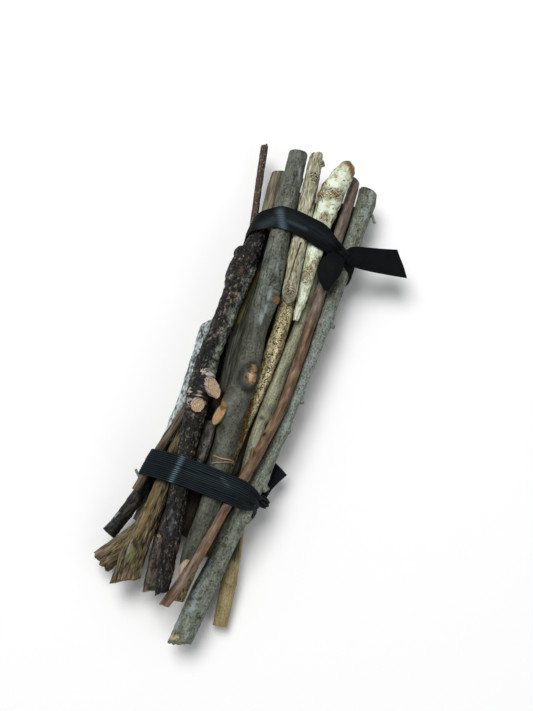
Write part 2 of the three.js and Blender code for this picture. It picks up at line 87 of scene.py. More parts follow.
# The five lowest twigs lie side by side on the table and carry the rest: plain straight sticks
# of mixed bark, sawn off at both ends. They are hidden from above, and both ribbons hold them.
MM = 0.001
SLICE_STEP = 3 * MM        # between slices through a twig's solid
END_MARGIN = 7 * MM        # of each askew end, where slices aren't whole
BEND_EASE = 6              # steps over which a bend in the stem is rounded off
CELL_ALONG, CELL_ROUND = 0.85 * MM, 0.5 * MM
FEWEST_SIDES = 20          # round a thin limb
THINNEST = 0.6 * MM        # radius of a stem that tapers off
FLAT_FACE = 0.45           # a face turned this far along the stem is a cut end
FIT_ROUNDS, FIT_MARGIN, FEWEST_POINTS = 4, 1.15, 5    # of the circle fitted to a slice
CRACK_EDGE = 0.18          # level of the noise at which a furrow ends
END_REACH = 2.5            # radii over which an askew end fades into the limb
BLUNTNESS = 0.92           # of a worn end
COLLAR_SPREAD, COLLAR_HEIGHT = 1.5, 0.06              # of the swelling round a stub, in stub widths
OUTER_EDGE = 0.97          # share of the radius beyond which no mark is put aside
# A cut face from its rim in: share of the radius, how far it is sunk in, and whether wood shows.
CUT_FACE = ((0.96, -0.05, 0.0), (0.85, 0.12, 1.0), (0.7, 0.1, 1.0), (0.5, 0.06, 1.0), (0.25, 0.05, 1.0))
RING_WIDTH = 0.9 * MM
CUT_ROUGHNESS = 0.85
BARK_GLOSS = 0.2


def unit(vectors):
    return vectors / np.linalg.norm(vectors, axis=-1, keepdims=True)


def run_along(points):
    """How far along a line each of its points is."""
    return np.concatenate([[0], np.cumsum(np.linalg.norm(np.diff(points, axis=0), axis=1))])


def eased(values, spread):
    """Values along a line, evened out over about that many steps."""
    width = min(3 * spread, len(values) - 1)
    weights = np.exp(-0.5 * (np.arange(-width, width + 1) / spread) ** 2)
    wider = np.pad(values, width, mode="reflect", reflect_type="odd")
    return np.convolve(wider, weights / weights.sum(), mode="valid")


def circle_through(points, near, reach):
    """Middle and radius of the circle that fits the points close to a known circle."""
    for _ in range(FIT_ROUNDS):
        kept = points[np.linalg.norm(points - near, axis=1) < reach * FIT_MARGIN]
        if len(kept) < FEWEST_POINTS:
            break
        sums = np.column_stack([2 * kept, np.ones(len(kept))])
        across, up, rest = np.linalg.lstsq(sums, (kept ** 2).sum(axis=1), rcond=None)[0]
        near = np.array((across, up))
        reach = math.sqrt(rest + across ** 2 + up ** 2)
    return near, reach


def stem_of(node):
    """A twig's middle line from its upper end down and its radii, read from slices of its solid."""
    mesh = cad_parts[node].data
    corners = np.array([vertex.co for vertex in mesh.vertices])
    first, second = (corners[[edge.vertices[k] for edge in mesh.edges]] for k in (0, 1))
    top, bottom = corners[:, 1].max(), corners[:, 1].min()
    circles = []
    for y in np.arange(top - END_MARGIN, bottom + END_MARGIN, -SLICE_STEP):
        cut = (first[:, 1] - y) * (second[:, 1] - y) < 0
        share = (y - first[cut, 1]) / (second[cut, 1] - first[cut, 1])
        rim = (first[cut] + (second[cut] - first[cut]) * share[:, None])[:, [0, 2]]
        near = circles[-1][1] if circles else rim.mean(axis=0)
        reach = circles[-1][2] if circles else np.linalg.norm(rim - near, axis=1).max()
        circles.append((y, *circle_through(rim, near, reach)))
    known = np.array([(middle[0], y, middle[1], radius) for y, middle, radius in circles])
    ends = [known[k] + (known[k] - known[j]) / (known[k][1] - known[j][1]) * (y - known[k][1])
            for k, j, y in ((0, 3, top), (-1, -4, bottom))]
    known = np.vstack([ends[0], known, ends[1]])
    y = np.linspace(top, bottom, int((top - bottom) / MM))
    fine = [eased(np.interp(-y, -known[:, 1], known[:, k]), BEND_EASE) for k in (0, 2, 3)]
    middle = np.column_stack([fine[0], y, fine[1]])
    run = run_along(middle)
    even = np.linspace(0, run[-1], int(run[-1] / CELL_ALONG))
    middle = np.column_stack([np.interp(even, run, middle[:, k]) for k in range(3)])
    return middle, np.maximum(np.interp(even, run, fine[2]), THINNEST)


def end_normal(node, outward, near, reach):
    """Which way a twig's cut end faces, from the flat faces of its solid there."""
    faces = [(np.array(face.normal), face.area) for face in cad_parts[node].data.polygons
             if np.linalg.norm(np.array(face.center) - near) < reach
             and np.dot(face.normal, outward) > FLAT_FACE]
    if not faces:
        return outward
    return unit(sum(normal * area for normal, area in faces))


def put_in_place(name, node, points, faces, fields, finish):
    """Makes a piece with values at its points, and puts it in place of a solid."""
    mesh = bpy.data.meshes.new(name)
    mesh.from_pydata(points.tolist(), [], faces)
    mesh.polygons.foreach_set("use_smooth", [True] * len(mesh.polygons))
    for field_name, values in fields.items():
        kind, key = ("FLOAT_VECTOR", "vector") if values.ndim == 2 else ("FLOAT", "value")
        mesh.attributes.new(field_name, kind, "POINT").data.foreach_set(key, values.ravel())
    mesh.materials.append(finish)
    piece = bpy.data.objects.new(name, mesh)
    bpy.context.scene.collection.objects.link(piece)
    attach(piece, "root")
    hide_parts(node)
    return piece


class Limb:
    """A round length of wood. Its bark is a grid along and round it, with relief on that grid,
    masks painted on it, and a cut face at each end. Sizes are given in millimetres."""

    made = 0

    def __init__(self, middle, radius, reference=(0, 0, 1)):
        Limb.made += 1
        self.middle, self.radius = middle, radius
        self.run = run_along(middle)
        self.along = unit(-np.gradient(middle, axis=0))
        self.side = unit(np.cross(self.along, reference))
        self.up = np.cross(self.side, self.along)
        sides = max(FEWEST_SIDES, int(2 * math.pi * radius.max() / CELL_ROUND))
        self.angle = np.arange(sides) * 2 * math.pi / sides
        self.relief = np.zeros((len(middle), sides))
        self.shift = np.zeros_like(self.relief)
        self.flow = np.zeros_like(self.relief)
        self.masks = {}
        self.own_grain = Limb.made * 0.5
        self.worn_ends = []
        self.stain = 0.0

    def grain(self):
        """Each cell's place on the straightened limb, so that the grain follows its bends."""
        angle = self.angle + self.flow
        run = np.broadcast_to(self.run[:, None] + self.own_grain, angle.shape)
        wide = self.radius.mean()
        return np.stack([wide * np.cos(angle), wide * np.sin(angle), run], axis=-1)

    def spread(self, spot):
        """How far every cell is from a spot, lengthwise and round, in millimetres."""
        run, angle = spot
        turn = (self.angle - angle + math.pi) % (2 * math.pi) - math.pi
        lengthwise = np.broadcast_to(self.run[:, None] - run, self.relief.shape)
        return lengthwise / MM, turn * self.radius[:, None] / MM

    def ellipse(self, spot, length, width):
        lengthwise, roundwise = self.spread(spot)
        return np.hypot(lengthwise / length * 2, roundwise / width * 2)

    def dome(self, spot, length, width, height, parting=0.6):
        """A swelling or, below zero, a hollow. The grain parts round it."""
        near = np.exp(-self.ellipse(spot, length, width) ** 2)
        self.relief += height * MM * near
        self.flow -= parting * near * self.spread(spot)[1] * MM / self.radius[:, None]

    def lip(self, spot, length, width, height, thickness=0.25):
        """A raised rim round a spot."""
        self.relief += height * MM * np.exp(-((self.ellipse(spot, length, width) - 1) / thickness) ** 2)

    def places(self, across, along):
        """Each cell's place in a noise with lumps of that size."""
        return (self.grain() / MM / (across, across, along)).reshape(-1, 3).tolist()

    def lumps(self, height, across, along, octaves=2):
        """Uneven bark, in lumps of about that size."""
        uneven = [noise.fractal(place, 1.0, 2.0, octaves) for place in self.places(across, along)]
        self.relief += height * MM * np.reshape(uneven, self.relief.shape)

    def cracks(self, depth, across, along):
        """Furrows that run with the grain between plates of bark."""
        uneven = [noise.noise(place) for place in self.places(across, along)]
        level = np.abs(np.reshape(uneven, self.relief.shape))
        self.relief -= depth * MM * np.clip(1 - level / CRACK_EDGE, 0, 1)

    def mark(self, mask, amount):
        """Adds to a mask where that is more than was painted there before."""
        self.masks[mask] = np.maximum(self.masks.get(mask, 0.0), amount)

    def paint(self, mask, spot, length, width, amount=1.0, edge=2):
        """Paints a mask round a spot. A higher edge makes a sharper border."""
        near = np.exp(-self.ellipse(spot, length, width) ** edge)
        self.mark(mask, amount * near)

    def streak(self, mask, spots, width, amount=1.0, edge=2):
        """Paints a mask along a line of spots."""
        nearest = np.full(self.relief.shape, np.inf)
        for start, end in zip(spots, spots[1:]):
            lengthwise, roundwise = self.spread(start)
            turn = (end[1] - start[1] + math.pi) % (2 * math.pi) - math.pi
            step = np.array(((end[0] - start[0]) / MM, turn * self.radius.mean() / MM))
            share = np.clip((lengthwise * step[0] + roundwise * step[1]) / (step @ step), 0, 1)
            away = np.hypot(lengthwise - share * step[0], roundwise - share * step[1])
            nearest = np.minimum(nearest, away)
        self.mark(mask, amount * np.exp(-(nearest / width * 2) ** edge))

    def ring_mark(self, mask, spot, length, width, amount=1.0, thickness=0.4):
        """Paints a mask as a ring round a spot."""
        near = np.exp(-((self.ellipse(spot, length, width) - 1) / thickness) ** 2)
        self.mark(mask, amount * near)

    def from_end(self, end):
        return self.run if end == 0 else self.run[-1] - self.run

    def fading(self, end):
        """1 at an end, and less further in."""
        return np.clip(1 - self.from_end(end) / (END_REACH * self.radius[end]), 0, 1)[:, None] ** 2

    def slant(self, end, normal):
        """Cuts an end off square to that direction."""
        outward = self.outward()[end]
        askew = -(outward @ normal) / (self.along[end] @ normal) * self.radius[end]
        self.shift += self.fading(end) * askew

    def faced(self, right, up, near):
        """Cuts the outer end off so that it faces that way, as seen from the viewpoint."""
        self.slant(0, unit(right * eye_right + up * eye_up - near * eye_ahead))

    def ragged(self, end, height, size):
        """Tears an end, so that its fibres break off unevenly."""
        places = (self.outward()[end] * self.radius[end] / MM / size).tolist()
        torn = [noise.fractal(place, 0.8, 2.0, 3) for place in places]
        self.shift += self.fading(end) * np.array(torn) * height * MM

    def rounded(self, end, length):
        """Wears an end round over that length, so that bark-coloured wood shows there."""
        beyond = np.clip(1 - self.from_end(end) / (length * MM), 0, 1)
        self.radius = self.radius * np.sqrt(1 - BLUNTNESS * beyond ** 2)
        self.worn_ends.append(end)

    def outward(self):
        return (self.side[:, None] * np.cos(self.angle)[None, :, None]
                + self.up[:, None] * np.sin(self.angle)[None, :, None])

    def rows(self):
        """Rings of points from the upper end's cut face, down the bark, to the lower end's, with
        the values that go with each point."""
        reach = (self.radius[:, None] + self.relief)[..., None]
        skin = self.middle[:, None] + self.outward() * reach + self.along[:, None] * self.shift[..., None]
        grain = self.grain()
        ring = np.broadcast_to(self.radius[:, None], self.relief.shape)
        plain = np.zeros_like(self.relief)
        masks = {"cut": plain, "ring": ring, "stain": plain + self.stain, **self.masks}
        points, grains, values = [skin], [grain], {name: [mask] for name, mask in masks.items()}
        for end, facing in ((0, 1), (-1, -1)):
            hub = skin[end].mean(axis=0)
            for share, sunk, cut in CUT_FACE:
                face = hub + (skin[end] - hub) * share - facing * self.along[end] * sunk * MM
                layer = grain[end] * (share, share, 1)
                cut = 0.0 if end in self.worn_ends else cut
                flat = {"cut": cut, "ring": share * self.radius[end], "stain": self.stain}
                extra = {name: np.full(len(face), value) for name, value in flat.items()}
                place = 0 if end == 0 else len(points)
                points.insert(place, face[None])
                grains.insert(place, layer[None])
                for name in values:
                    row = extra.get(name, masks[name][end] * (1 - cut))
                    values[name].insert(place, row[None])
        points, grains = np.concatenate(points), np.concatenate(grains)
        return points, grains, {name: np.concatenate(rows) for name, rows in values.items()}


class Twig(Limb):
    """A whole twig: the stem that its solid shows, and the stubs that grow on it."""

    def __init__(self, node):
        super().__init__(*stem_of(node))
        self.node = node
        self.limbs = []
        for end, facing in ((0, 1), (-1, -1)):
            outward = facing * self.along[end]
            normal = end_normal(node, outward, self.middle[end], 2 * self.radius[end])
            self.slant(end, facing * normal)

    def place(self, along, around):
        """A spot at a place along the bundle, at an angle from its right side up and over."""
        step = np.argmin(np.abs(self.middle[:, 1] - along * MM))
        return self.run[step], math.radians(around)

    def seen(self, across, down):
        """The spot that is seen at a pixel, or nearest to it."""
        wanted = np.array((across, down))
        to_eye = eye - self.middle
        ridge = unit(to_eye - (to_eye * self.along).sum(axis=1, keepdims=True) * self.along)
        turn = 0.0
        for _ in range(3):
            pixels, scale = seen_at(self.middle + ridge * (math.cos(turn) * self.radius)[:, None])
            step = np.clip(np.argmin(np.linalg.norm(pixels - wanted, axis=1)), 1, len(pixels) - 2)
            heading = unit(pixels[step + 1] - pixels[step - 1])
            sideways = np.array((-heading[1], heading[0]))
            aside = (wanted - pixels[step]) @ sideways / (scale[step] * self.radius[step])
            turn = math.asin(np.clip(aside, -OUTER_EDGE, OUTER_EDGE))
        facing = math.atan2(ridge[step] @ self.up[step], ridge[step] @ self.side[step])
        turning = self.up[step] * math.cos(facing) - self.side[step] * math.sin(facing)
        turned = turning @ eye_right * sideways[0] - turning @ eye_up * sideways[1]
        return self.run[step], facing + math.copysign(1, turned) * turn

    def stroke(self, mask, pixels, width, amount=1.0, edge=2):
        """Paints a mask along a line of pixels."""
        self.streak(mask, [self.seen(*pixel) for pixel in pixels], width, amount, edge)

    def dabs(self, mask, pixels, length, width, amount=1.0, edge=2):
        """Paints a mask round each of some pixels."""
        for pixel in pixels:
            self.paint(mask, self.seen(*pixel), length, width, amount, edge)

    def point_on(self, spot, lift):
        """The point that far above the bark at a spot."""
        step = min(np.searchsorted(self.run, spot[0]), len(self.run) - 1)
        outward = self.side[step] * math.cos(spot[1]) + self.up[step] * math.sin(spot[1])
        return self.middle[step] + outward * (self.radius[step] + lift * MM)

    def stub(self, spot, lean, base, tip, out, bend=(0, 0, 0)):
        """The root of a side branch, which leans to the upper end and narrows from base to tip."""
        run, angle = spot
        step = min(np.searchsorted(self.run, run), len(self.run) - 1)
        outward = self.side[step] * math.cos(angle) + self.up[step] * math.sin(angle)
        leaning = math.radians(lean)
        direction = outward * math.cos(leaning) + self.along[step] * math.sin(leaning)
        length = self.radius[step] / math.cos(leaning) + out * MM
        share = np.linspace(1, 0, max(10, int(length / CELL_ROUND)))
        middle = self.middle[step] + direction * (share * length)[:, None]
        middle = middle + np.array(bend) * MM * (share ** 3)[:, None]
        radius = (tip + (base - tip) * (1 - share) ** 1.5) / 2 * MM
        limb = Limb(middle, radius, self.along[step])
        self.limbs.append(limb)
        self.dome(spot, base * COLLAR_SPREAD, base * COLLAR_SPREAD, base * COLLAR_HEIGHT)
        return limb

    def grow(self, along, around, **shape):
        """A stub at a place along the bundle."""
        return self.stub(self.place(along, around), **shape)

    def lay(self, finish):
        """Makes the piece, and puts it in place of its solid."""
        shells = [limb.rows() for limb in (self, *self.limbs)]
        names = sorted({name for shell in shells for name in shell[2]})
        points, faces, grains = [], [], []
        values = {name: [] for name in names}
        for rows, grain, masks in shells:
            first = sum(len(part) for part in points)
            count, sides = rows.shape[:2]
            points += [rows.reshape(-1, 3), rows[[0, -1]].mean(axis=1)]
            grains += [grain.reshape(-1, 3), grain[[0, -1]].mean(axis=1)]
            for name in names:
                mask = masks.get(name, np.zeros((count, sides)))
                values[name] += [mask.reshape(-1), mask[[0, -1]].mean(axis=1)]
            row, side = np.meshgrid(np.arange(count - 1), np.arange(sides), indexing="ij")
            after = (side + 1) % sides
            here, below = row * sides, (row + 1) * sides
            corners = [here + side, here + after, below + after, below + side]
            faces += (np.stack(corners, axis=-1).reshape(-1, 4) + first).tolist()
            ring = np.arange(sides)
            turned = (ring + 1) % sides
            pole, last = count * sides, (count - 1) * sides
            upper = [np.full(sides, pole), turned, ring]
            lower = [last + ring, last + turned, np.full(sides, pole + 1)]
            for fan in (upper, lower):
                faces += (np.stack(fan, axis=-1) + first).tolist()
        fields = {name: np.concatenate(parts) for name, parts in values.items()}
        fields["grain"] = np.concatenate(grains)
        put_in_place(self.node + "_bark", self.node, np.concatenate(points), faces, fields, finish)


def tone(code):
    """A colour as the shader takes it, from its usual hex code."""
    parts = [int(code[k:k + 2], 16) / 255 for k in (1, 3, 5)]
    return [p / 12.92 if p <= 0.04045 else ((p + 0.055) / 1.055) ** 2.4 for p in parts] + [1.0]


def feed(node, sockets):
    """Sets or links a node's inputs."""
    for name, value in sockets.items():
        if isinstance(value, Shade):
            node.id_data.links.new(value.socket, node.inputs[name])
        else:
            node.inputs[name].default_value = tone(value) if isinstance(value, str) else value


class Shade:
    """A value, vector or colour on its way to a shader, so that shading is written as sums."""

    def __init__(self, tree, socket=None):
        self.tree = tree
        self.socket = socket

    def node(self, kind, settings, sockets, output=0):
        made = self.tree.nodes.new("ShaderNode" + kind)
        for name, value in settings.items():
            if name == "stops":
                for _ in value[2:]:
                    made.color_ramp.elements.new(0.5)
                for stop, (position, code) in zip(made.color_ramp.elements, value):
                    stop.position = position
                    stop.color = tone(code)
            else:
                setattr(made, name, value)
        feed(made, sockets)
        return Shade(self.tree, made.outputs[output])

    def sum(self, operation, first, second):
        kind = "VectorMath" if self.socket.type == "VECTOR" else "Math"
        return self.node(kind, {"operation": operation}, {0: first, 1: second})

    def __add__(self, other):
        return self.sum("ADD", self, other)

    def __radd__(self, other):
        return self.sum("ADD", other, self)

    def __sub__(self, other):
        return self.sum("SUBTRACT", self, other)

    def __rsub__(self, other):
        return self.sum("SUBTRACT", other, self)

    def __mul__(self, other):
        return self.sum("MULTIPLY", self, other)

    def __rmul__(self, other):
        return self.sum("MULTIPLY", other, self)

    def mix(self, low, high):
        """From one colour to another by this value."""
        return self.node("Mix", {"data_type": "RGBA"}, {0: self, 6: low, 7: high}, 2)

    def ramp(self, *stops):
        """The colour at this value on a ramp."""
        return self.node("ValToRGB", {"stops": stops}, {"Fac": self})

    def between(self, low, high):
        """0 below low, 1 above high, and eased between them."""
        ends = {"Value": self, "From Min": low, "From Max": high}
        return self.node("MapRange", {"interpolation_type": "SMOOTHSTEP"}, ends)


def noise_of(grain, across, along, detail=3.0, distortion=0.0):
    """Noise about a half, in patches of that size in millimetres across and along the grain."""
    place = grain * (1 / across / MM, 1 / across / MM, 1 / along / MM)
    sockets = {"Vector": place, "Scale": 1.0, "Detail": detail, "Distortion": distortion}
    return grain.node("TexNoise", {}, sockets, "Fac")


def crumbs_of(grain, across, along):
    """Distance from the middle of crumbs that lie about that far apart, in millimetres."""
    place = grain * (1 / across / MM, 1 / across / MM, 1 / along / MM)
    return grain.node("TexVoronoi", {}, {"Vector": place, "Scale": 1.0}, "Distance")


def bark(name):
    """A new bark: the grain that its shading follows, and its material."""
    material = bpy.data.materials.new(name)
    material.use_nodes = True
    start = Shade(material.node_tree)
    return start.node("Attribute", {"attribute_name": "grain"}, {}, "Vector"), material


def mask_of(grain, name):
    return grain.node("Attribute", {"attribute_name": name}, {}, "Fac")


def dress(material, grain, colour, roughness, height, depth, pale="#a58a63", deep="#5f472e", rim="#2b2119"):
    """Finishes a bark: cut faces with growth rings of pale and deep wood, and fine relief."""
    ring = mask_of(grain, "ring") * (1 / RING_WIDTH) + 0.9 * noise_of(grain, 3, 3)
    rings = 2 * ring.sum("PINGPONG", ring, 0.5)
    stain = noise_of(grain, 1.5, 1.5, 4)
    wood = (0.4 * rings + 1.6 * stain - 0.45).mix(deep, pale)
    wood = mask_of(grain, "stain").mix(wood, rim)
    bared = mask_of(grain, "cut")
    wood = bared.between(0.55, 1.0).mix(rim, wood)
    cut = bared.between(0.2, 0.5)
    relief = height + cut * (0.4 * rings + stain - height)
    normal = grain.node("Bump", {}, {"Distance": depth * MM, "Height": relief})
    feed(material.node_tree.nodes["Principled BSDF"], {
        "Base Color": cut.mix(colour, wood),
        "Roughness": cut * (CUT_ROUGHNESS - roughness) + roughness,
        "Normal": normal,
        "Specular IOR Level": BARK_GLOSS,
    })
    return material


def plain_bark(name, dark, middle, light):
    """Weathered bark with fine fibres, broad mottling and a few dark pores."""
    grain, material = bark(name)
    fibres = noise_of(grain, 0.7, 9, 4)
    mottle = noise_of(grain, 4, 11)
    pores = crumbs_of(grain, 2.2, 3.2).between(0.1, 0.25)
    colour = (0.5 * fibres + 0.5 * mottle).ramp((0.36, dark), (0.5, middle), (0.64, light))
    return dress(material, grain, pores.mix(dark, colour), 0.8, fibres + 0.5 * pores, 0.35)


UNDER_BARK = {
    "under_left_twig": ("#37342e", "#5a554b", "#7b7567"),
    "under_middle_left_twig": ("#46392a", "#6f604a", "#94836a"),
    "under_middle_twig": ("#3c3830", "#5f5a4e", "#878072"),
    "under_middle_right_twig": ("#4e3d2b", "#7d694f", "#a08d72"),
    "under_right_twig": ("#3b392f", "#656050", "#8b8672"),
}
UNDER_KNOTS = ((0.22, 250), (0.55, 300), (0.8, 225))    # share of the length, and angle
for node, tones in UNDER_BARK.items():
    twig = Twig(node)
    twig.lumps(0.5, 6, 24)
    twig.lumps(0.25, 1.3, 7)
    for share, around in UNDER_KNOTS:
        knot = (share * twig.run[-1], math.radians(around))
        twig.dome(knot, 9, 7, 0.7)
    twig.lay(plain_bark(node + " bark", *tones))


# Five more twigs fill the inside of the bundle, between the lowest ones and those on top. Only
# their ends and slivers of their bark show, so they are plain sticks like the lowest, but with their
# bark painted much darker, as painted shade deep inside the bundle.
SHADE_DARKENED_INNER_BARK = {
    "inner_left_twig": ("#1f1912", "#342c23", "#4b4132"),
    "inner_upper_twig": ("#231f19", "#383329", "#50493d"),
    "inner_middle_twig": ("#26211a", "#3f382f", "#574f41"),
    "inner_centre_twig": ("#28221b", "#41392e", "#5b5142"),
    "inner_right_twig": ("#1f1d19", "#35322c", "#4b483f"),
}
for node, tones in SHADE_DARKENED_INNER_BARK.items():
    twig = Twig(node)
    twig.lumps(0.5, 6, 24)
    twig.lumps(0.22, 1.3, 7)
    twig.lay(plain_bark(node + " bark", *tones))


# The brown twig at the back sticks out beside the main one. Its bark is grey-brown and fibrous at
# the upper end, and green with algae further down, where it is broken off short; that lower stretch
# is also painted dark as shade, since it lies deep between the others.
twig = Twig("brown_back_twig")
SHADED_GREEN_STRETCH = ((262, 258), (246, 320), (226, 386))
YELLOW_EDGE = ((258, 272), (246, 298), (238, 322))
twig.lumps(0.4, 5, 20)
twig.lumps(0.35, 1.1, 16)
twig.cracks(0.3, 1.6, 20)
# Painted shade with a green cast down the stretch that lies deep between the others.
twig.stroke("green", SHADED_GREEN_STRETCH, 34, edge=4)
twig.stroke("yellow", YELLOW_EDGE, 2.2)
twig.ragged(-1, 2.5, 2)
PATCH_BREAK, PATCH_LOW, PATCH_HIGH = 1.5, 0.25, 0.95


def patch(grain, name, uneven):
    """A painted mask with its edges broken up by noise."""
    return (mask_of(grain, name) + PATCH_BREAK * (uneven - 0.5)).between(PATCH_LOW, PATCH_HIGH)


grain, material = bark("fibrous brown bark")
fibres = noise_of(grain, 0.9, 14, 4)
mottle = noise_of(grain, 3, 12)
shed = (0.6 * fibres + 0.4 * mottle)
brown = shed.ramp((0.36, "#363125"), (0.48, "#5d5646"), (0.6, "#847d6b"))
# The dark green ramp is painted shade over the green cast of algae.
green = shed.ramp((0.38, "#10110d"), (0.5, "#2e3028"), (0.64, "#4f5145"))
colour = patch(grain, "green", mottle).mix(brown, green)
colour = mask_of(grain, "yellow").mix(colour, "#645d1d")
twig.lay(dress(material, grain, colour, 0.75, fibres, 0.5))


# A thin red-brown twig sticks out furthest at the upper left. It is a young shoot, so its bark is
# smooth and dotted with pale breathing pores, and it is snapped off at the top.
twig = Twig("thin_dark_twig")
twig.lumps(0.25, 4, 14)
twig.lumps(0.12, 0.9, 3)
twig.ragged(0, 1.2, 1.5)
grain, material = bark("dotted red-brown bark")
fibres = noise_of(grain, 0.8, 7, 4)
dots = crumbs_of(grain, 1.5, 2.1).between(0.2, 0.34)
colour = fibres.ramp((0.36, "#23201c"), (0.5, "#42362e"), (0.64, "#5e4f47"))
colour = dots.mix("#857666", colour)
twig.lay(dress(material, grain, colour, 0.7, fibres - 0.4 * dots, 0.35, "#a08a72", "#5d4a3b"))


# The silver twig lies along the left edge under the black one. Its upper half is silver-grey and
# flecked where the thin bark catches the light; below the ribbon the bark is painted dark as shade,
# with a painted silver highlight near its lower end.
twig = Twig("silver_twig")
SHADED_STRETCH = ((152, 470), (128, 505), (104, 531))
SILVER_GLINT_END = ((119, 512), (106, 526))
twig.lumps(0.45, 4, 9)
twig.lumps(0.3, 1.6, 3)
# Painted shade below the lower ribbon, and a painted silver highlight near the end.
twig.stroke("dark", SHADED_STRETCH, 40, edge=6)
twig.stroke("worn", SILVER_GLINT_END, 2.6, 0.8)
grain, material = bark("silver bark")
flecks = noise_of(grain, 1.3, 2.2, 4)
mottle = noise_of(grain, 4, 8)
silver = (0.65 * flecks + 0.35 * mottle).ramp((0.38, "#2a2e2c"), (0.46, "#6f7978"), (0.6, "#c3cdcd"))
# A dark ramp for the painted shade below the ribbon; the "worn" mask is a painted silver highlight.
shaded_tone = (0.5 * flecks + 0.5 * mottle).ramp((0.36, "#080807"), (0.5, "#191814"), (0.66, "#3a372f"))
colour = mask_of(grain, "dark").between(0.3, 0.6).mix(silver, shaded_tone)
colour = patch(grain, "worn", flecks).mix(colour, "#879196")
twig.lay(dress(material, grain, colour, 0.5, flecks, 0.6, "#8d8272", "#4d463c"))


# A thin brown twig lies over the silver one at the left edge. A dried tendril curls out of it
# just below the lower ribbon.
twig = Twig("left_brown_twig")
TENDRIL = (-76.5, 185)
twig.lumps(0.3, 3, 12)
twig.lumps(0.15, 0.9, 6)
tendril = twig.stub(twig.place(*TENDRIL), lean=10, base=2.2, tip=1.4, out=3.5, bend=(0, 1.8, 0.6))
tendril.lumps(0.25, 1.2, 1.2)
tendril.masks["grey"] = np.ones_like(tendril.relief)
grain, material = bark("plain brown bark")
fibres = noise_of(grain, 0.8, 10, 4)
colour = fibres.ramp((0.36, "#332920"), (0.5, "#55493a"), (0.64, "#736553"))
colour = mask_of(grain, "grey").mix(colour, "#6c6b60")
twig.lay(dress(material, grain, colour, 0.75, fibres, 0.4))


# A mauve-grey twig lies under the black one. The bark is thin and finely speckled, grey above the
# ribbon, and a side shoot was pruned off close below it, which left an orange cut.
twig = Twig("mauve_twig")
GREY_STRETCH = ((212, 428), (201, 462))
PRUNED_SHOOT = (161, 531)
twig.lumps(0.4, 4, 14)
twig.lumps(0.2, 1.0, 2.2)
twig.stroke("grey", GREY_STRETCH, 30, edge=4)
twig.stub(twig.seen(*PRUNED_SHOOT), lean=-35, base=4.2, tip=3, out=0.8)
twig.ragged(-1, 1.2, 3)
grain, material = bark("mauve speckled bark")
mottle = noise_of(grain, 2.2, 5, 4)
specks = noise_of(grain, 0.9, 1.4, 3)
mauve = mottle.ramp((0.34, "#25211d"), (0.5, "#484138"), (0.66, "#686055"))
grey = mottle.ramp((0.34, "#38362f"), (0.5, "#63605a"), (0.66, "#85817a"))
colour = mask_of(grain, "grey").mix(mauve, grey)
colour = specks.between(0.36, 0.46).mix("#1a1715", colour)
twig.lay(dress(material, grain, colour, 0.72, specks + 0.5 * mottle, 0.45, "#c4a270", "#86663f"))


# The speckled twig lies in the groove under the main one. Its tan bark is covered with fine wormy
# lines, bleached to cream along the top, and stained dark orange at its lower edges.
twig = Twig("speckled_tan_twig")
CREAM_RIDGE = ((281, 330), (272, 362), (262, 392), (254, 412))
ORANGE_EDGE = ((252, 402), (245, 424), (241, 440))
twig.lumps(0.5, 4, 16)
twig.lumps(0.25, 1.2, 3)
twig.stroke("cream", CREAM_RIDGE, 4.5, 0.8)
twig.stroke("orange", ORANGE_EDGE, 4)
LINE_WANDER = 1.2


def lines_of(grain, across, along, detail):
    """How far noise is from its middle, which it passes in wormy lines."""
    level = noise_of(grain, across, along, detail, LINE_WANDER) - 0.5
    return level.sum("ABSOLUTE", level, 0)


grain, material = bark("wormy tan bark")
mottle = noise_of(grain, 2.5, 8, 3)
lines = lines_of(grain, 1.5, 2.4, 1.5).between(0.015, 0.06)
tan = mottle.ramp((0.34, "#7c6f4d"), (0.5, "#a39871"), (0.66, "#c2b893"))
colour = patch(grain, "cream", mottle).mix(tan, "#d6c9a4")
colour = patch(grain, "orange", mottle).mix(colour, "#7e5721")
colour = lines.mix("#403521", colour)
twig.lay(dress(material, grain, colour, 0.7, lines + 0.5 * mottle, 0.4))


# The olive cane lies low on the right and comes out again below the others. It is smooth and
# jointed, olive above, yellower and scuffed below, with dark fibres where a sheath was torn off.
# Its edge by the main twig and the gap below are painted dark as shade.
twig = Twig("olive_cane_twig")
YELLOW_STRETCH = ((233, 556), (228, 590), (221, 622))
SHEATH = ((238, 541), (234, 557))
SCUFF, CRINKLE, JOINT = (270, 409), (262, 418), (232, 585)
SHADED_EDGE = ((296, 372), (283, 395), (270, 430))
SHADED_SIDE = ((268, 428), (262, 452), (256, 476))
twig.lumps(0.3, 5, 26)
twig.lumps(0.12, 0.9, 12)
joint = twig.seen(*JOINT)
twig.dome(joint, 3, 400, 0.45, parting=0)
twig.dome((joint[0] + 1.3 * MM, joint[1]), 1.4, 400, -0.3, parting=0)
twig.dome(twig.seen(*CRINKLE), 7, 5, 0.6)
twig.stroke("yellow", YELLOW_STRETCH, 30, edge=4)
twig.stroke("sheath", SHEATH, 9, 0.8)
twig.stroke("dark", SHADED_EDGE, 2.5, 0.6)
twig.stroke("dark", SHADED_SIDE, 9)
twig.dabs("scuff", [SCUFF], 7, 4)
twig.dabs("dark", [CRINKLE], 5, 4, 0.7)
twig.paint("dark", joint, 1.2, 400, 0.6)
grain, material = bark("olive cane skin")
fibres = noise_of(grain, 0.8, 16, 3)
mottle = noise_of(grain, 4, 10)
specks = noise_of(grain, 0.8, 1.2, 2)
skin = 0.35 * fibres + 0.3 * mottle + 0.35 * specks
olive = skin.ramp((0.38, "#5b5c49"), (0.5, "#83836c"), (0.62, "#aaa98e"))
yellow = skin.ramp((0.36, "#66583a"), (0.5, "#867954"), (0.64, "#a5986f"))
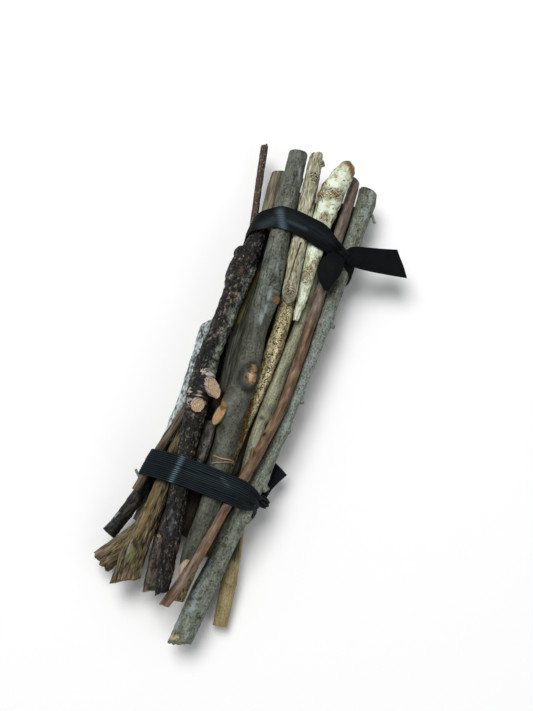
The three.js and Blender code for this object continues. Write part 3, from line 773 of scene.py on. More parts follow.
colour = mask_of(grain, "yellow").mix(olive, yellow)
colour = specks.between(0.27, 0.37).mix("#514933", colour)
colour = patch(grain, "sheath", fibres).mix(colour, "#2a251c")
# The "dark" mask is painted shade along the edge and in the gap, and the real dark of the joint and
# crinkle.
colour = patch(grain, "dark", mottle).mix(colour, "#1d1c14")
colour = (patch(grain, "scuff", specks) * 0.7).mix(colour, "#565f60")
twig.lay(dress(material, grain, colour, 0.55, skin, 0.25, "#a68a55", "#6f5631"))


# The forked twig flares at its lower end, where it was torn off a bough with part of a second
# stem. Its bark is fibrous and furrowed, with an ochre streak and a worn whitish ridge.
twig = Twig("forked_brown_twig")
FORK = ((-31, -92, 28, 6), (-36, -105, 20, 11), (-42, -115, 15.5, 12.5), (-49.5, -125.5, 12, 13))
OCHRE_STREAK = ((156, 486), (150, 504), (143, 520), (137, 534))
WORN_RIDGE = ((145, 512), (138, 526), (131, 542), (127, 558))
GREEN_END = (131, 558)


def limb_through(stations):
    """A limb through stations of across, along, up and diameter, in millimetres."""
    stations = np.array(stations, float) * MM
    reach = run_along(stations[:, :3])
    even = np.linspace(0, reach[-1], int(reach[-1] / CELL_ALONG))
    line = np.column_stack([eased(np.interp(even, reach, stations[:, k]), BEND_EASE) for k in range(4)])
    return Limb(line[:, :3], line[:, 3] / 2)


fork = limb_through(FORK)
twig.limbs.append(fork)
for limb in (twig, fork):
    limb.lumps(0.6, 4, 18)
    limb.lumps(0.5, 1.3, 14, 3)
    limb.cracks(0.45, 1.6, 16)
    limb.ragged(-1, 1.2, 3)
twig.stroke("ochre", OCHRE_STREAK, 4.5)
twig.stroke("worn", WORN_RIDGE, 2.4, 0.6)
twig.dabs("green", [GREEN_END], 14, 8, 0.8)
grain, material = bark("furrowed brown bark")
fibres = noise_of(grain, 0.6, 4.5, 5, 0.5)
mottle = noise_of(grain, 3, 9)
shed = 0.6 * fibres + 0.4 * mottle
colour = shed.ramp((0.38, "#1d180f"), (0.46, "#4b402b"), (0.55, "#6e6149"), (0.66, "#8f856b"))
colour = (patch(grain, "ochre", fibres) * 0.6).mix(colour, fibres.mix("#513c17", "#8f7038"))
colour = (patch(grain, "green", mottle) * 0.6).mix(colour, "#6a6f40")
colour = (patch(grain, "worn", fibres) * 0.6).mix(colour, "#8d908a")
twig.lay(dress(material, grain, colour, 0.75, fibres + 0.3 * mottle, 0.7, "#8a6f42", "#4a3820"))


# The birch twig is the palest: cream bark with a green cast that crinkles and peels, brown where
# it has come away. It is thick at the top, where it was cut round, and tapers to a thin tip.
twig = Twig("birch_twig")
PEELED_TIP = ((342, 160), (351, 165), (356, 178))
PEELED_EDGE = ((349, 196), (344, 213), (338, 228))
CRINKLED_RING = ((317, 196), (329, 193), (343, 200))
LICHEN, FLAP = (327, 200), (321, 184)
BROWN_MARKS = ((325, 217), (333, 222), (309, 271), (307, 279), (318, 262))
TAPER_BUD = (311, 298)
BARK_NUB = (122, 150)
twig.lumps(0.7, 5, 9)
twig.lumps(0.35, 1.6, 2.6)
twig.rounded(0, 5)
twig.dome(twig.seen(*CRINKLED_RING[1]), 5, 30, 0.9, parting=0)
twig.dome(twig.seen(*FLAP), 9, 6, 1.2)
twig.dome(twig.seen(*TAPER_BUD), 5, 4, 0.9)
twig.stroke("brown", PEELED_TIP, 7)
twig.stroke("brown", PEELED_EDGE, 3, 0.8)
twig.stroke("crinkle", CRINKLED_RING, 9)
twig.dabs("crinkle", BROWN_MARKS, 8, 7)
twig.dabs("lichen", [LICHEN], 4, 5, 0.9)
twig.dabs("brown", [FLAP], 12, 5)
twig.dabs("brown", [TAPER_BUD], 5, 4)
nub = twig.stub(twig.place(*BARK_NUB), lean=-10, base=4.5, tip=3, out=1.4)
nub.masks["brown"] = np.ones_like(nub.relief)
grain, material = bark("peeling cream bark")
mottle = noise_of(grain, 3, 6, 4)
flakes = noise_of(grain, 1.2, 1.7, 3, 0.8)
cream = (0.6 * mottle + 0.4 * flakes).ramp((0.36, "#898465"), (0.46, "#bdc09f"), (0.58, "#e1ead7"))
colour = (mottle + 0.6 * flakes).between(0.6, 0.56).mix(cream, "#b59d68")
lines = lines_of(grain, 1.3, 1.7, 2).between(0.1, 0.02)
crinkled = mask_of(grain, "crinkle").between(0.2, 0.7)
colour = (crinkled * 0.45).mix(colour, "#a08a5c")
colour = (crinkled * lines).mix(colour, "#4a381f")
colour = (patch(grain, "lichen", flakes) * 0.6).mix(colour, "#7f8a45")
colour = patch(grain, "brown", flakes).mix(colour, flakes.mix("#3d2a14", "#94703f"))
colour = flakes.between(0.3, 0.36).mix("#4d3c25", colour)
twig.lay(dress(material, grain, colour, 0.55, mottle + flakes, 0.6, "#b08a55", "#6e4a26"))


# A slim red-brown shoot runs down the right side and crosses over the main twig near the lower
# end. Its bark is smooth and shines along the ridge, with two dark knots and one side shoot.
twig = Twig("red_brown_twig")
KNOTS = ((265, 435), (287, 408))
SIDE_SHOOT = (-52, 120)
PALE_STRETCH = ((341, 186), (335, 210), (322, 262), (310, 300))
SHINE = ((199, 536), (196, 548), (188, 571), (178, 588))
twig.lumps(0.35, 4, 18)
twig.lumps(0.12, 0.9, 9)
for knot in KNOTS:
    twig.dome(twig.seen(*knot), 6, 4.5, 0.8)
    twig.paint("dark", twig.seen(*knot), 3, 2.5)
twig.stroke("pale", PALE_STRETCH, 30, edge=4)
twig.stroke("shine", SHINE, 2.4)
shoot = twig.stub(twig.place(*SIDE_SHOOT), lean=55, base=2.8, tip=1.7, out=7)
shoot.lumps(0.2, 1.5, 4)
twig.ragged(-1, 0.6, 2)
grain, material = bark("smooth red-brown bark")
fibres = noise_of(grain, 0.9, 14, 4)
mottle = noise_of(grain, 3, 9)
skin = 0.35 * fibres + 0.65 * mottle
brown = skin.ramp((0.36, "#3c2a1d"), (0.5, "#644d38"), (0.64, "#86705a"))
pale = skin.ramp((0.36, "#3d322b"), (0.5, "#63564c"), (0.64, "#83776c"))
colour = mask_of(grain, "pale").mix(brown, pale)
colour = patch(grain, "dark", fibres).mix(colour, "#1f160e")
colour = (patch(grain, "shine", mottle) * 0.5).mix(colour, "#878a84")
twig.lay(dress(material, grain, colour, 0.5, skin, 0.3, "#a98258", "#6b4c2f"))


# The longest twig runs down the right edge. Its grey-green bark is smooth under a bloom of
# blue-grey lichen and dark specks, with the spurs of small side shoots, some of them broken. Its
# blue-grey patches and pale middle are partly lichen and partly painted highlight on the lit ridge.
twig = Twig("grey_right_twig")
SPURS = (
    dict(along=134, around=10, lean=-50, base=3.5, tip=1.5, out=4, bend=(0.5, -3, 0)),
    dict(along=50, around=10, lean=-20, base=4.5, tip=2.4, out=2.5),
    dict(along=1, around=10, lean=-40, base=4.5, tip=2.2, out=2.5),
    dict(along=-22, around=10, lean=0, base=5, tip=3, out=1.2),
    dict(along=-53, around=5, lean=-30, base=6.5, tip=3.6, out=3),
    dict(along=-75, around=20, lean=-10, base=7.5, tip=4.5, out=1.5),
)
LICHEN_AND_GLINT_SPOTS = ((371, 198), (366, 214), (314, 378), (306, 392), (287, 425),
                (207, 568), (197, 590), (193, 606), (178, 622))
LIT_PALE_MIDDLE = ((332, 312), (312, 362), (292, 412))
TAN_BUDS = ((317, 322), (237, 509))
BROKEN_END = ((170, 634), (178, 638))
EYE = (200, 618)
twig.lumps(0.5, 6, 20)
twig.lumps(0.15, 1.2, 2.5)
for spur in SPURS:
    spot = twig.place(spur["along"], spur["around"])
    limb = twig.grow(**spur)
    limb.lumps(0.3, 1.5, 2)
    twig.dome(spot, 14, 10, 0.8)
# Blue-grey patches, partly lichen and partly painted highlight where the light catches the bark.
twig.dabs("lichen", LICHEN_AND_GLINT_SPOTS, 14, 4.5, 0.9)
twig.stroke("lichen", LIT_PALE_MIDDLE, 9, 0.6)
for spot in TAN_BUDS:
    twig.dome(twig.seen(*spot), 4, 4, 0.9)
    twig.paint("tan", twig.seen(*spot), 4, 3)
twig.stroke("tan", BROKEN_END, 3.6)
twig.dabs("dark", [EYE], 2, 6)
twig.ragged(-1, 1.6, 4)
grain, material = bark("lichened grey bark")
mottle = noise_of(grain, 3, 6, 4)
specks = noise_of(grain, 0.9, 1.3, 3)
fibres = noise_of(grain, 0.9, 8, 3)
shade = 0.35 * mottle + 0.4 * specks + 0.25 * fibres
colour = shade.ramp((0.38, "#34372d"), (0.47, "#5f6256"), (0.56, "#757a6d"), (0.66, "#959c92"))
# The "lichen" mask here is partly lichen and partly painted highlight.
colour = (patch(grain, "lichen", specks) * 0.6).mix(colour, "#8d9d9e")
colour = specks.between(0.3, 0.38).mix("#2d3029", colour)
colour = patch(grain, "dark", fibres).mix(colour, "#33342d")
colour = patch(grain, "tan", specks).mix(colour, specks.mix("#7d6c4b", "#c4b48c"))
twig.lay(dress(material, grain, colour, 0.6, shade, 0.5, "#9c9077", "#5a5342"))


# A short light tan twig lies between the main one and the birch. Its bark has come off, so that
# the wavy weathered fibres show, with knots near both ends; the lower end is worn round.
twig = Twig("short_tan_twig")
TOP_KNOT, LOW_KNOT = (314, 178), (289, 290)
NUB = (140, 15)
DARK_CRACKS = (((301, 243), (294, 262), (289, 280)), ((322, 182), (316, 196), (310, 212)))
twig.lumps(0.4, 4, 14)
twig.lumps(0.4, 1.1, 9, 3)
twig.cracks(0.35, 1.5, 12)
twig.rounded(-1, 4)
for knot in (TOP_KNOT, LOW_KNOT):
    twig.dome(twig.seen(*knot), 9, 8, 1.0)
    twig.lip(twig.seen(*knot), 6, 5, 0.3)
    twig.paint("knot", twig.seen(*knot), 11, 9)
for crack in DARK_CRACKS:
    twig.stroke("dark", crack, 1.6, 0.7)
nub = twig.stub(twig.place(*NUB), lean=20, base=5.5, tip=4, out=1.8)
nub.masks["dark"] = 0.4 * np.ones_like(nub.relief)
grain, material = bark("weathered tan wood")
waves = noise_of(grain, 1.0, 6, 5, 1.2)
mottle = noise_of(grain, 3, 8)
shed = 0.7 * waves + 0.3 * mottle
colour = shed.ramp((0.38, "#474436"), (0.46, "#888268"), (0.55, "#adaa92"), (0.64, "#cdccb6"))
lines = lines_of(grain, 1.2, 1.5, 2).between(0.1, 0.02)
knotted = mask_of(grain, "knot").between(0.3, 0.8)
colour = (knotted * 0.5).mix(colour, "#b5ac93")
colour = (knotted * lines).mix(colour, "#2a2115")
colour = (mask_of(grain, "dark") + 1.4 * (waves - 0.5)).between(0.4, 0.6).mix(colour, "#3c3420")
twig.lay(dress(material, grain, colour, 0.75, waves, 0.6, "#b39c74", "#7d6744"))


# The main twig is the thickest, on top in the middle. Its bark is smooth and grey-olive with a
# dull shine. Side branches were torn and sawn off it, and its lower end was cut off askew. Two
# bits of straw are caught on it above the lower ribbon.
twig = Twig("main_grey_twig")
ROUND_STUB = (48, 40)
SHINY_SPOTS = ((299, 176), (277, 268), (266, 307), (268, 298), (262, 318), (224, 508))
TORN_KNOT, TORN_TOP = (250, 377), (253.5, 368)
SCAR_MIDDLE, SCAR_AROUND, SCAR_LEAN = (218, 408), 140, 46
SCAR_EDGE = ((225, 402), (227, 408), (224, 413))
PINK_DOT, EYE = (240.5, 337.5), (206, 515)
FACET = ((187, 562), (181, 570), (176, 578))
BROWNER_STRETCH = ((252, 345), (236, 410), (215, 500), (190, 560))
DARK_COLLARS = ((222, 424), (273, 300))
STRAWS = (((214.5, 456.5), (235, 461.5), 0.8, "straw"), ((213, 463), (232, 462), 0.6, "dull_straw"))
STRAW_LIFT, STRAW_STEPS = 0.7, 24
twig.lumps(0.6, 7, 24)
twig.lumps(0.12, 1.1, 4)
stub = twig.stub(twig.place(*ROUND_STUB), lean=-20, base=8.5, tip=6, out=1.8)
stub.stain = 0.55
twig.dome(twig.place(*ROUND_STUB), 16, 12, 0.8)
torn = twig.seen(*TORN_KNOT)
twig.dome(torn, 15, 11, 1.6)
twig.lip(torn, 9, 6, 0.6)
twig.ring_mark("dark", torn, 15, 11, 0.9)
twig.paint("wood", torn, 8, 5.5, edge=4)
twig.dabs("wood", [TORN_TOP], 5, 4.5, edge=4)
twig.paint("pale", torn, 6, 2.6)
scar_run = twig.seen(*SCAR_MIDDLE)[0]
before = math.tan(math.radians(SCAR_LEAN)) * twig.radius[np.searchsorted(twig.run, scar_run)]
scar = twig.stub((scar_run - before, math.radians(SCAR_AROUND)), lean=-SCAR_LEAN, base=14, tip=9, out=4)
scar.faced(-0.62, 0.5, 0.6)
scar.lumps(0.3, 2, 3)
scar.masks["low"] = np.ones_like(scar.relief)
twig.dome((scar_run, math.radians(SCAR_AROUND)), 26, 18, 1.8)
twig.stroke("wood", SCAR_EDGE, 3, edge=4)
twig.stroke("pale", FACET, 4, edge=4)
twig.dabs("wood", [PINK_DOT], 1.6, 1.6)
twig.dabs("dark", DARK_COLLARS, 9, 5, 0.8)
twig.lip(twig.seen(*EYE), 4, 8, 0.25)
twig.dabs("dark", [EYE], 1.6, 8, 0.8)
twig.stroke("low", BROWNER_STRETCH, 40, edge=4)
twig.dabs("shine", SHINY_SPOTS, 12, 3.2, 0.9)
twig.rounded(0, 3)
for start, end, thickness, mask in STRAWS:
    shown = np.linspace(start, end, STRAW_STEPS)
    line = np.array([twig.point_on(twig.seen(*spot), STRAW_LIFT) for spot in shown])
    line = np.column_stack([eased(line[:, k], 3) for k in range(3)])
    straw = Limb(line, np.full(len(line), thickness / 2 * MM))
    straw.lumps(0.15, 0.6, 5)
    straw.masks[mask] = np.ones_like(straw.relief)
    twig.limbs.append(straw)
grain, material = bark("smooth grey-olive bark")
mottle = noise_of(grain, 4, 9, 4)
fibres = noise_of(grain, 0.8, 6, 3)
specks = noise_of(grain, 1.0, 1.4, 3)
shade = 0.4 * mottle + 0.25 * fibres + 0.35 * specks
colour = shade.ramp((0.39, "#2c2e28"), (0.47, "#4a4d44"), (0.55, "#616459"), (0.64, "#7c7e71"))
colour = (mask_of(grain, "low") * 0.5).mix(colour, shade.mix("#1c1912", "#4a463a"))
colour = specks.between(0.3, 0.37).mix("#24241e", colour)
colour = (patch(grain, "shine", mottle) * 0.6).mix(colour, "#8d9b9d")
colour = patch(grain, "dark", specks).mix(colour, "#1e1e19")
colour = patch(grain, "wood", specks).mix(colour, specks.mix("#452d17", "#ab8450"))
colour = patch(grain, "pale", specks).mix(colour, specks.mix("#7d5c3a", "#d8cbb0"))
colour = mask_of(grain, "straw").mix(colour, fibres.mix("#7d5f3a", "#b8946a"))
colour = mask_of(grain, "dull_straw").mix(colour, fibres.mix("#6d6552", "#a0957e"))
twig.lay(dress(material, grain, colour, 0.5, shade, 0.45, "#c8a67a", "#86623c", "#3a2416"))


# The black twig is charred-looking: a crust of black fungus over brown bark, with grey lichen on
# its right side. It has a burl at the top and two sawn stubs with pale wood and pinkish collars.
twig = Twig("black_mottled_twig")
BURL_STUB = dict(along=67, around=165, lean=25, base=13, tip=9, out=3)
SAWN_STUBS = (dict(along=-15, around=35, lean=-22, base=12, tip=10, out=4.5),
              dict(along=-27, around=78, lean=-28, base=12, tip=7.6, out=2.6))
SAWN_FACES = ((0.73, 0.42, 0.53), (0.62, 0.0, 0.78))
LUMP, BURL_BULGE = (192, 390), (57, 165)
LICHEN_SIDE = ((255, 276), (248, 292), (240, 310), (231, 332), (222, 353), (215, 368))
PINK_COLLARS = ((204, 371), (208, 374), (192, 392), (199, 394), (190, 401))
RED_DOT, PALE_NUB = (241, 272), (232, 250)
BROWN_SPOTS = ((207, 420), (206, 440), (199, 452), (181, 545), (176, 570), (236, 292), (232, 297))
SHINE_SPOTS = ((187, 462), (183, 470), (171, 512), (172, 522), (170, 530))
twig.lumps(0.6, 6, 10)
twig.lumps(0.5, 1.6, 2.4, 4)
burl = twig.grow(**BURL_STUB)
burl.lumps(1.0, 3, 3, 3)
burl.rounded(0, 4)
twig.dome(twig.place(*BURL_BULGE), 24, 15, 2.6)
twig.dome(twig.seen(*LUMP), 9, 9, 1.6)
for sawn, facing in zip(SAWN_STUBS, SAWN_FACES):
    spot = twig.place(sawn["along"], sawn["around"])
    limb = twig.grow(**sawn)
    limb.faced(*facing)
    limb.lumps(0.35, 2, 2.5)
    limb.masks["pink"] = np.clip(1.3 - limb.run / (4 * MM), 0, 1)[:, None] * np.ones_like(limb.relief)
    twig.dome(spot, 16, 14, 1.0)
twig.dabs("pink", PINK_COLLARS, 5, 4, 0.8)
twig.stroke("lichen", LICHEN_SIDE, 13, edge=4)
twig.dabs("brown", BROWN_SPOTS, 14, 5, 0.8)
twig.dabs("shine", SHINE_SPOTS, 7, 4, 0.8)
twig.dabs("red", [RED_DOT], 3, 3)
twig.dabs("pink", [PALE_NUB], 4, 4)
twig.ragged(-1, 1.4, 3)
grain, material = bark("black crusted bark")
crust = noise_of(grain, 1.6, 2.6, 4)
mottle = noise_of(grain, 4, 8, 4)
specks = noise_of(grain, 0.8, 1.2, 2)
dust = 0.4 * crust + 0.25 * mottle + 0.35 * specks
black = dust.ramp((0.44, "#060605"), (0.51, "#191613"), (0.57, "#3b3731"), (0.66, "#837d74"))
lichen = dust.ramp((0.42, "#292b24"), (0.48, "#5b5f54"), (0.56, "#808578"), (0.64, "#a1a89c"))
brown = crust.ramp((0.38, "#120e09"), (0.5, "#3d3122"), (0.62, "#7a694c"))
colour = patch(grain, "brown", crust).mix(black, brown)
colour = patch(grain, "lichen", mottle).mix(colour, lichen)
colour = (patch(grain, "shine", crust) * 0.6).mix(colour, "#586164")
pink = (mask_of(grain, "pink") + 2.2 * (specks - 0.5)).between(0.3, 0.9)
colour = pink.mix(colour, specks.mix("#6d4f45", "#d3c6bf"))
colour = patch(grain, "red", specks).mix(colour, "#5a3120")
twig.lay(dress(material, grain, colour, 0.6, crust + 0.8 * specks, 0.8, "#e2c8a8", "#a47e59", "#b7a294"))




# Two lengths of black ribbon tie the bundle, one near each end: woven, with ribs that run along it.
# Each goes once round, drawn tight over the highest twigs, and is knotted at the right side. The
# lower one is narrower where it is gathered, and one short tail of it sticks out behind the knot.
RIBBON_WIDTH = 15.5 * MM
RIBBON_THICKNESS = 0.45 * MM
RIBS, RIB_CELLS = 14, 4
RIB_HEIGHT = 0.28 * MM
BAND_STEPS = 260
GATHER, GATHER_ANGLE = 0.5, 0.35     # share of the width that the knot takes up, and how near it
EASE_OUT = 0.25 * MM                 # from the inner face of the solid to the middle of the cloth
PLEAT_HEIGHT, PLEATS, PLEAT_ANGLE = 0.8 * MM, 2.5, 0.6
TAIL_STEPS, TAIL_EASE = 26, 7        # rows between a tail's stations, and how they are rounded
TAIL_RIPPLE, TAIL_WAVE = 0.35 * MM, 0.5 * MM     # across a tail and along it
KNOT_SIDES, KNOT_ROWS, KNOT_TURNS = 48, 40, 9    # cells of a knot, and turns of cloth on it
RAY_INSET = 0.03                     # share of the width that rays stay inside the solid band
MISSED_REACH = 20 * MM               # where the first ray meets nothing
across_ribbon = np.linspace(-0.5, 0.5, RIBS * RIB_CELLS + 1)
rib_profile = RIB_HEIGHT * np.abs(np.sin(math.pi * RIBS * (across_ribbon + 0.5)))


class Cloth:
    """Strips and the knot of one ribbon, gathered into one mesh."""

    def __init__(self):
        self.points, self.faces, self.weave, self.ribs = [], [], [], []
        self.count, self.length = 0, 0.0

    def add(self, grid, weave, ribs, closed):
        """Adds rows of points, each row a closed ring; the rows are closed too, or capped."""
        rows, ring = grid.shape[:2]
        row, side = np.meshgrid(np.arange(rows if closed else rows - 1), np.arange(ring), indexing="ij")
        after, beside = (row + 1) % rows, (side + 1) % ring
        corners = (row * ring + side, row * ring + beside, after * ring + beside, after * ring + side)
        self.faces += (np.stack(corners, axis=-1).reshape(-1, 4) + self.count).tolist()
        if not closed:
            for first, order in ((0, -1), ((rows - 1) * ring, 1)):
                half = ring // 2
                for k in range(half - 1):
                    cap = [first + k, first + k + 1, first + ring - 2 - k, first + ring - 1 - k]
                    self.faces.append([self.count + corner for corner in cap[::order]])
        self.points.append(grid.reshape(-1, 3))
        self.weave.append(weave.reshape(-1, 3))
        self.ribs.append(np.broadcast_to(ribs, grid.shape[:2]).reshape(-1))
        self.count += rows * ring

    def strip(self, middle, closed=False):
        """Adds a thin strip, ribbed on both faces, about a sheet of points with rows along it."""
        along = np.roll(middle, -1, 0) - np.roll(middle, 1, 0) if closed else np.gradient(middle, axis=0)
        outward = unit(np.cross(np.gradient(middle, axis=1), along))
        rise = (RIBBON_THICKNESS / 2 + rib_profile)[None, :, None] * outward
        run = run_along(middle[:, len(across_ribbon) // 2])
        place = np.broadcast_to(run[:, None], middle.shape[:2])
        aside = np.broadcast_to(across_ribbon * RIBBON_WIDTH, place.shape)
        weave = np.stack([place, aside, 0 * place], axis=-1)
        ring = np.concatenate([middle + rise, (middle - rise)[:, ::-1]], axis=1)
        raised = rib_profile / RIB_HEIGHT
        both_weaves = np.concatenate([weave, weave[:, ::-1]], axis=1)
        self.add(ring, both_weaves, np.concatenate([raised, raised[::-1]]), closed)
        self.length += run[-1]

    def tail(self, stations, crown):
        """Adds a free end between two edges, seen at pixels, with its height in millimetres."""
        share = np.linspace(0, len(stations) - 1, TAIL_STEPS * (len(stations) - 1))
        edges = []
        for first in (0, 2):
            known = np.array([point_behind(*row[first:first + 2], row[4] * MM) for row in stations])
            line = [np.interp(share, np.arange(len(stations)), known[:, k]) for k in range(3)]
            edges.append(np.column_stack([eased(part, TAIL_EASE) for part in line]))
        part = (across_ribbon + 0.5)[None, :, None]
        sheet = edges[0][:, None] * (1 - part) + edges[1][:, None] * part
        arch = crown * MM * np.cos(math.pi * across_ribbon) + TAIL_RIPPLE * np.sin(9 * across_ribbon)
        waves = TAIL_WAVE * np.sin(2.1 * share)[:, None] * np.ones_like(arch)
        self.strip(sheet + (arch + waves)[..., None] * np.array((0, 0, 1)))

    def knot(self, across, down, height, size, axis):
        """Adds the tied lump, seen at a pixel, pleated round an axis."""
        centre = point_behind(across, down, height * MM)
        axis = unit(np.array(axis, float))
        aside = unit(np.cross(axis, (0.3, 0.2, 1.0)))
        basis = np.array([axis, aside, np.cross(axis, aside)])
        turn = (np.arange(KNOT_SIDES) * 2 * math.pi / KNOT_SIDES)[None, :]
        rise = np.linspace(0.05, math.pi - 0.05, KNOT_ROWS)[:, None]
        pleats = 0.09 * np.sin(KNOT_TURNS * rise + 2 * np.sin(turn)) + 0.08 * np.cos(3 * turn)
        swell = np.sin(rise) ** 0.6 * (1 + pleats)
        local = np.stack([np.cos(rise) + 0 * turn, swell * np.cos(turn), swell * np.sin(turn)], axis=-1)
        weave = np.stack([turn + 0 * rise, 1.5 * rise + 0 * turn, 0 * turn * rise], axis=-1) * 4 * MM
        ribs = 0.5 + 0.5 * np.sin(KNOT_TURNS * rise + 0 * turn)
        self.add(centre + (local * np.array(size) * MM / 2) @ basis, weave, ribs, closed=False)

    def lay(self, node, finish, held_by, glints):
        """Makes the piece, and puts it in place of its solid."""
        points = np.concatenate(self.points)
        pixels = seen_at(points)[0]
        shine = np.zeros(len(pixels))
        for start, end, width, amount in glints:
            step = np.array(end, float) - start
            share = np.clip((pixels - start) @ step / (step @ step), 0, 1)
            away = np.linalg.norm(pixels - start - share[:, None] * step, axis=1)
            shine = np.maximum(shine, amount * np.exp(-(away / width * 2) ** 2))
        fields = {"weave": np.concatenate(self.weave), "rib": np.concatenate(self.ribs), "glint": shine}
        piece = put_in_place(node + "_cloth", node, points, self.faces, fields, finish)


def band_of(node, middle, along, lean, knot_angle, folds):
    """The turn round the bundle, read from the inside of its solid, with folds drawn to the knot."""
    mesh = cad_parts[node].data
    solid = BVHTree.FromPolygons([v.co for v in mesh.vertices], [face.vertices for face in mesh.polygons])
    across, height = np.array(middle) * MM
    turns = np.arange(BAND_STEPS) * 2 * math.pi / BAND_STEPS
    from_knot = (turns - math.radians(knot_angle) + math.pi) % (2 * math.pi) - math.pi
    widths = RIBBON_WIDTH * (1 - GATHER * np.exp(-(from_knot / GATHER_ANGLE) ** 2))
    rays = np.stack([np.cos(turns), lean * np.sin(turns), np.sin(turns)], axis=-1)
    offset = across_ribbon[None, :] * widths[:, None]
    lengthwise = along * MM + lean * height + offset
    starts = np.stack([0 * offset + across, lengthwise, 0 * offset + height], axis=-1)
    reach = np.full(offset.shape, MISSED_REACH)
    for k, ray in enumerate(rays):
        for j in range(len(across_ribbon)):
            inset = starts[k, j] - (0, RAY_INSET * offset[k, j], 0)
            hit = solid.ray_cast(inset.tolist(), ray.tolist())[0]
            reach[k, j] = reach[k - 1, j]
            if hit:
                reach[k, j] = np.linalg.norm(np.array(hit) - inset) / np.linalg.norm(ray)
    for _ in range(3):
        reach = (np.roll(reach, 1, 0) + 2 * reach + np.roll(reach, -1, 0)) / 4
    drawn = np.exp(-(from_knot / PLEAT_ANGLE) ** 2)[:, None]
    reach = reach + EASE_OUT + PLEAT_HEIGHT * drawn * np.sin(2 * math.pi * PLEATS * across_ribbon + 0.6)
    for angle, spread, across_at, slope, wide, rise in folds:
        near = np.exp(-((turns - math.radians(angle)) / math.radians(spread)) ** 2)[:, None]
        line = across_at + slope * (turns - math.radians(angle))[:, None]
        reach = reach + rise * MM * near * np.exp(-((across_ribbon - line) / wide) ** 2)
    return starts + rays[:, None] * reach[..., None]


def ribbon_finish(name, ribbing):
    """Black woven ribbon: ribs painted paler than the grooves as light and shade, cross threads, and
    painted glints.
    """
    material = bpy.data.materials.new(name)
    material.use_nodes = True
    weave = Shade(material.node_tree).node("Attribute", {"attribute_name": "weave"}, {}, "Vector")
    threads = noise_of(weave, 0.5, 0.5, 2)
    worn = noise_of(weave, 6, 6, 3)
    rib = mask_of(weave, "rib")
    glint = mask_of(weave, "glint")
    # Rib crests are painted paler and the grooves darker as light and shade on the ribbing; the glint is a
    # painted highlight.
    yarn = ribbing * rib.between(0.45, 1.0) + 0.6 * (threads - 0.5) + 0.5 * (worn - 0.5)
    colour = yarn.ramp((0.0, "#010202"), (0.4, "#030709"), (1.0, "#18262c"))
    caught = 1 - ribbing + ribbing * rib.between(0.2, 1.0)
    colour = (glint * caught * (0.3 + threads)).mix(colour, "#7b94a0")
    feed(material.node_tree.nodes["Principled BSDF"], {
        "Base Color": colour,
        "Roughness": 0.75 - 0.25 * glint - 0.1 * worn,
        "Normal": weave.node("Bump", {}, {"Distance": 0.15 * MM, "Height": threads}),
        "Specular IOR Level": 0.12,
    })
    return material


HELD_BY_BOTH = [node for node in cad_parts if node.endswith("_twig")]
LOWER_BAND = dict(middle=(-11.67, 21), along=-67.1, lean=0.0, knot_angle=6)
LOWER_FOLDS = (
    (100, 45, 0.12, -0.1, 0.05, -0.9),
    (60, 30, -0.2, 0.25, 0.07, 1.0),
    (140, 22, 0.0, 0.4, 0.12, 0.6),
)
LOWER_GLINTS = (
    ((183, 456), (166, 491), 5, 0.6),
    ((222, 478), (228, 486), 5, 0.2),
    ((190, 470), (240, 490), 14, 0.05),
)
LOWER_KNOT = (261.5, 501, 22, (6.5, 9, 8), (0.3, 1, 0.2))
LOWER_TAIL = (
    (259, 496, 265, 500, 19),
    (260, 484, 272, 489, 17.5),
    (265, 470, 281, 480, 16),
    (269, 456, 287, 475, 15),
)


cloth = Cloth()
cloth.strip(band_of("lower_ribbon", folds=LOWER_FOLDS, **LOWER_BAND), closed=True)
cloth.knot(*LOWER_KNOT)
cloth.tail(LOWER_TAIL, crown=0.6)
cloth.lay("lower_ribbon", ribbon_finish("ribbed black ribbon", 1.0), HELD_BY_BOTH, LOWER_GLINTS)


# The upper ribbon is drawn over the main twig and knotted on top of the longest one. One tail lies
# out to the right, and the other hangs down as a pointed leaf.
UPPER_BAND = dict(middle=(-11.67, 20), along=76.4, lean=0.45, knot_angle=25)
UPPER_FOLDS = (
    (70, 35, 0.05, 0.12, 0.05, -1.2),
    (55, 28, -0.18, -0.1, 0.07, 1.3),
    (120, 30, 0.1, 0.2, 0.1, 0.6),
)
UPPER_GLINTS = (
    ((280, 212), (283, 228), 8, 0.4),
    ((288, 221), (306, 229), 4, 0.18),
    ((262, 226), (275, 219), 9, 0.14),
    ((290, 216), (330, 240), 10, 0.05),
)
UPPER_KNOT = (342, 255, 35, (8, 7.5, 7), (0.35, 1, 0.1))
RIGHT_TAIL = (
    (344, 252, 346, 262, 34),
    (352, 246.5, 352, 267, 31),
    (373, 248, 369, 271, 28.5),
    (397, 250, 407, 278, 24.5),
)
DOWN_TAIL = (
    (334, 252, 343, 259, 37),
    (322, 258, 344, 266, 38.5),
    (316, 270, 341, 274, 39),
    (319, 282, 334, 283, 38.8),
    (324.5, 291, 326, 291, 38),
)
cloth = Cloth()
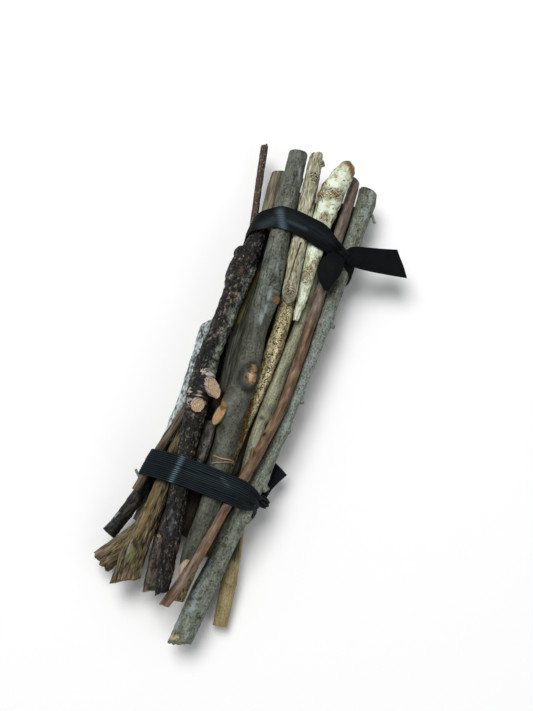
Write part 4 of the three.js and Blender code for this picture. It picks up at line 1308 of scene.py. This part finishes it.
cloth.strip(band_of("upper_ribbon", folds=UPPER_FOLDS, **UPPER_BAND), closed=True)
cloth.knot(*UPPER_KNOT)
cloth.tail(RIGHT_TAIL, crown=0.9)
cloth.tail(DOWN_TAIL, crown=1.2)
cloth.lay("upper_ribbon", ribbon_finish("smooth black ribbon", 0.45), HELD_BY_BOTH, UPPER_GLINTS)



# The table is plain and pale, and the light is soft: one wide lamp overhead, a little to the left
# and behind, a fainter one from the right, and an even pale room round it all.
TABLE_SIZE = 6.0
KEY_PLACE, KEY_SIZE, KEY_POWER = Vector((-0.5, 0.36, 1.7)), 1.0, 29
FILL_PLACE, FILL_SIZE, FILL_POWER = Vector((0.9, -0.4, 0.9)), 0.8, 2.6
ROOM_TONE, ROOM_STRENGTH = (0.92, 0.96, 1.0, 1.0), 0.3

table_mesh = bpy.data.meshes.new("table")
half = TABLE_SIZE / 2
table_corners = [(-half, -half, 0), (half, -half, 0), (half, half, 0), (-half, half, 0)]
table_mesh.from_pydata(table_corners, [], [(0, 1, 2, 3)])
table_finish = bpy.data.materials.new("pale table")
table_finish.use_nodes = True
feed(table_finish.node_tree.nodes["Principled BSDF"], {"Base Color": "#f4f4f2", "Roughness": 0.9})
table_mesh.materials.append(table_finish)
table = bpy.data.objects.new("table", table_mesh)
bpy.context.scene.collection.objects.link(table)

LAMPS = (("key", KEY_PLACE, KEY_SIZE, KEY_POWER), ("fill", FILL_PLACE, FILL_SIZE, FILL_POWER))
for name, place, size, power in LAMPS:
    lamp_data = bpy.data.lights.new(name, "AREA")
    lamp_data.size = size
    lamp_data.energy = power
    lamp = bpy.data.objects.new(name, lamp_data)
    lamp.location = place
    lamp.rotation_mode = "QUATERNION"
    lamp.rotation_quaternion = (VIEW_AIM - place).to_track_quat("-Z", "Y")
    bpy.context.scene.collection.objects.link(lamp)

room = bpy.data.worlds.new("room")
room.use_nodes = True
feed(room.node_tree.nodes["Background"], {"Color": ROOM_TONE, "Strength": ROOM_STRENGTH})
bpy.context.scene.world = room
bpy.context.scene.view_settings.view_transform = "Standard"
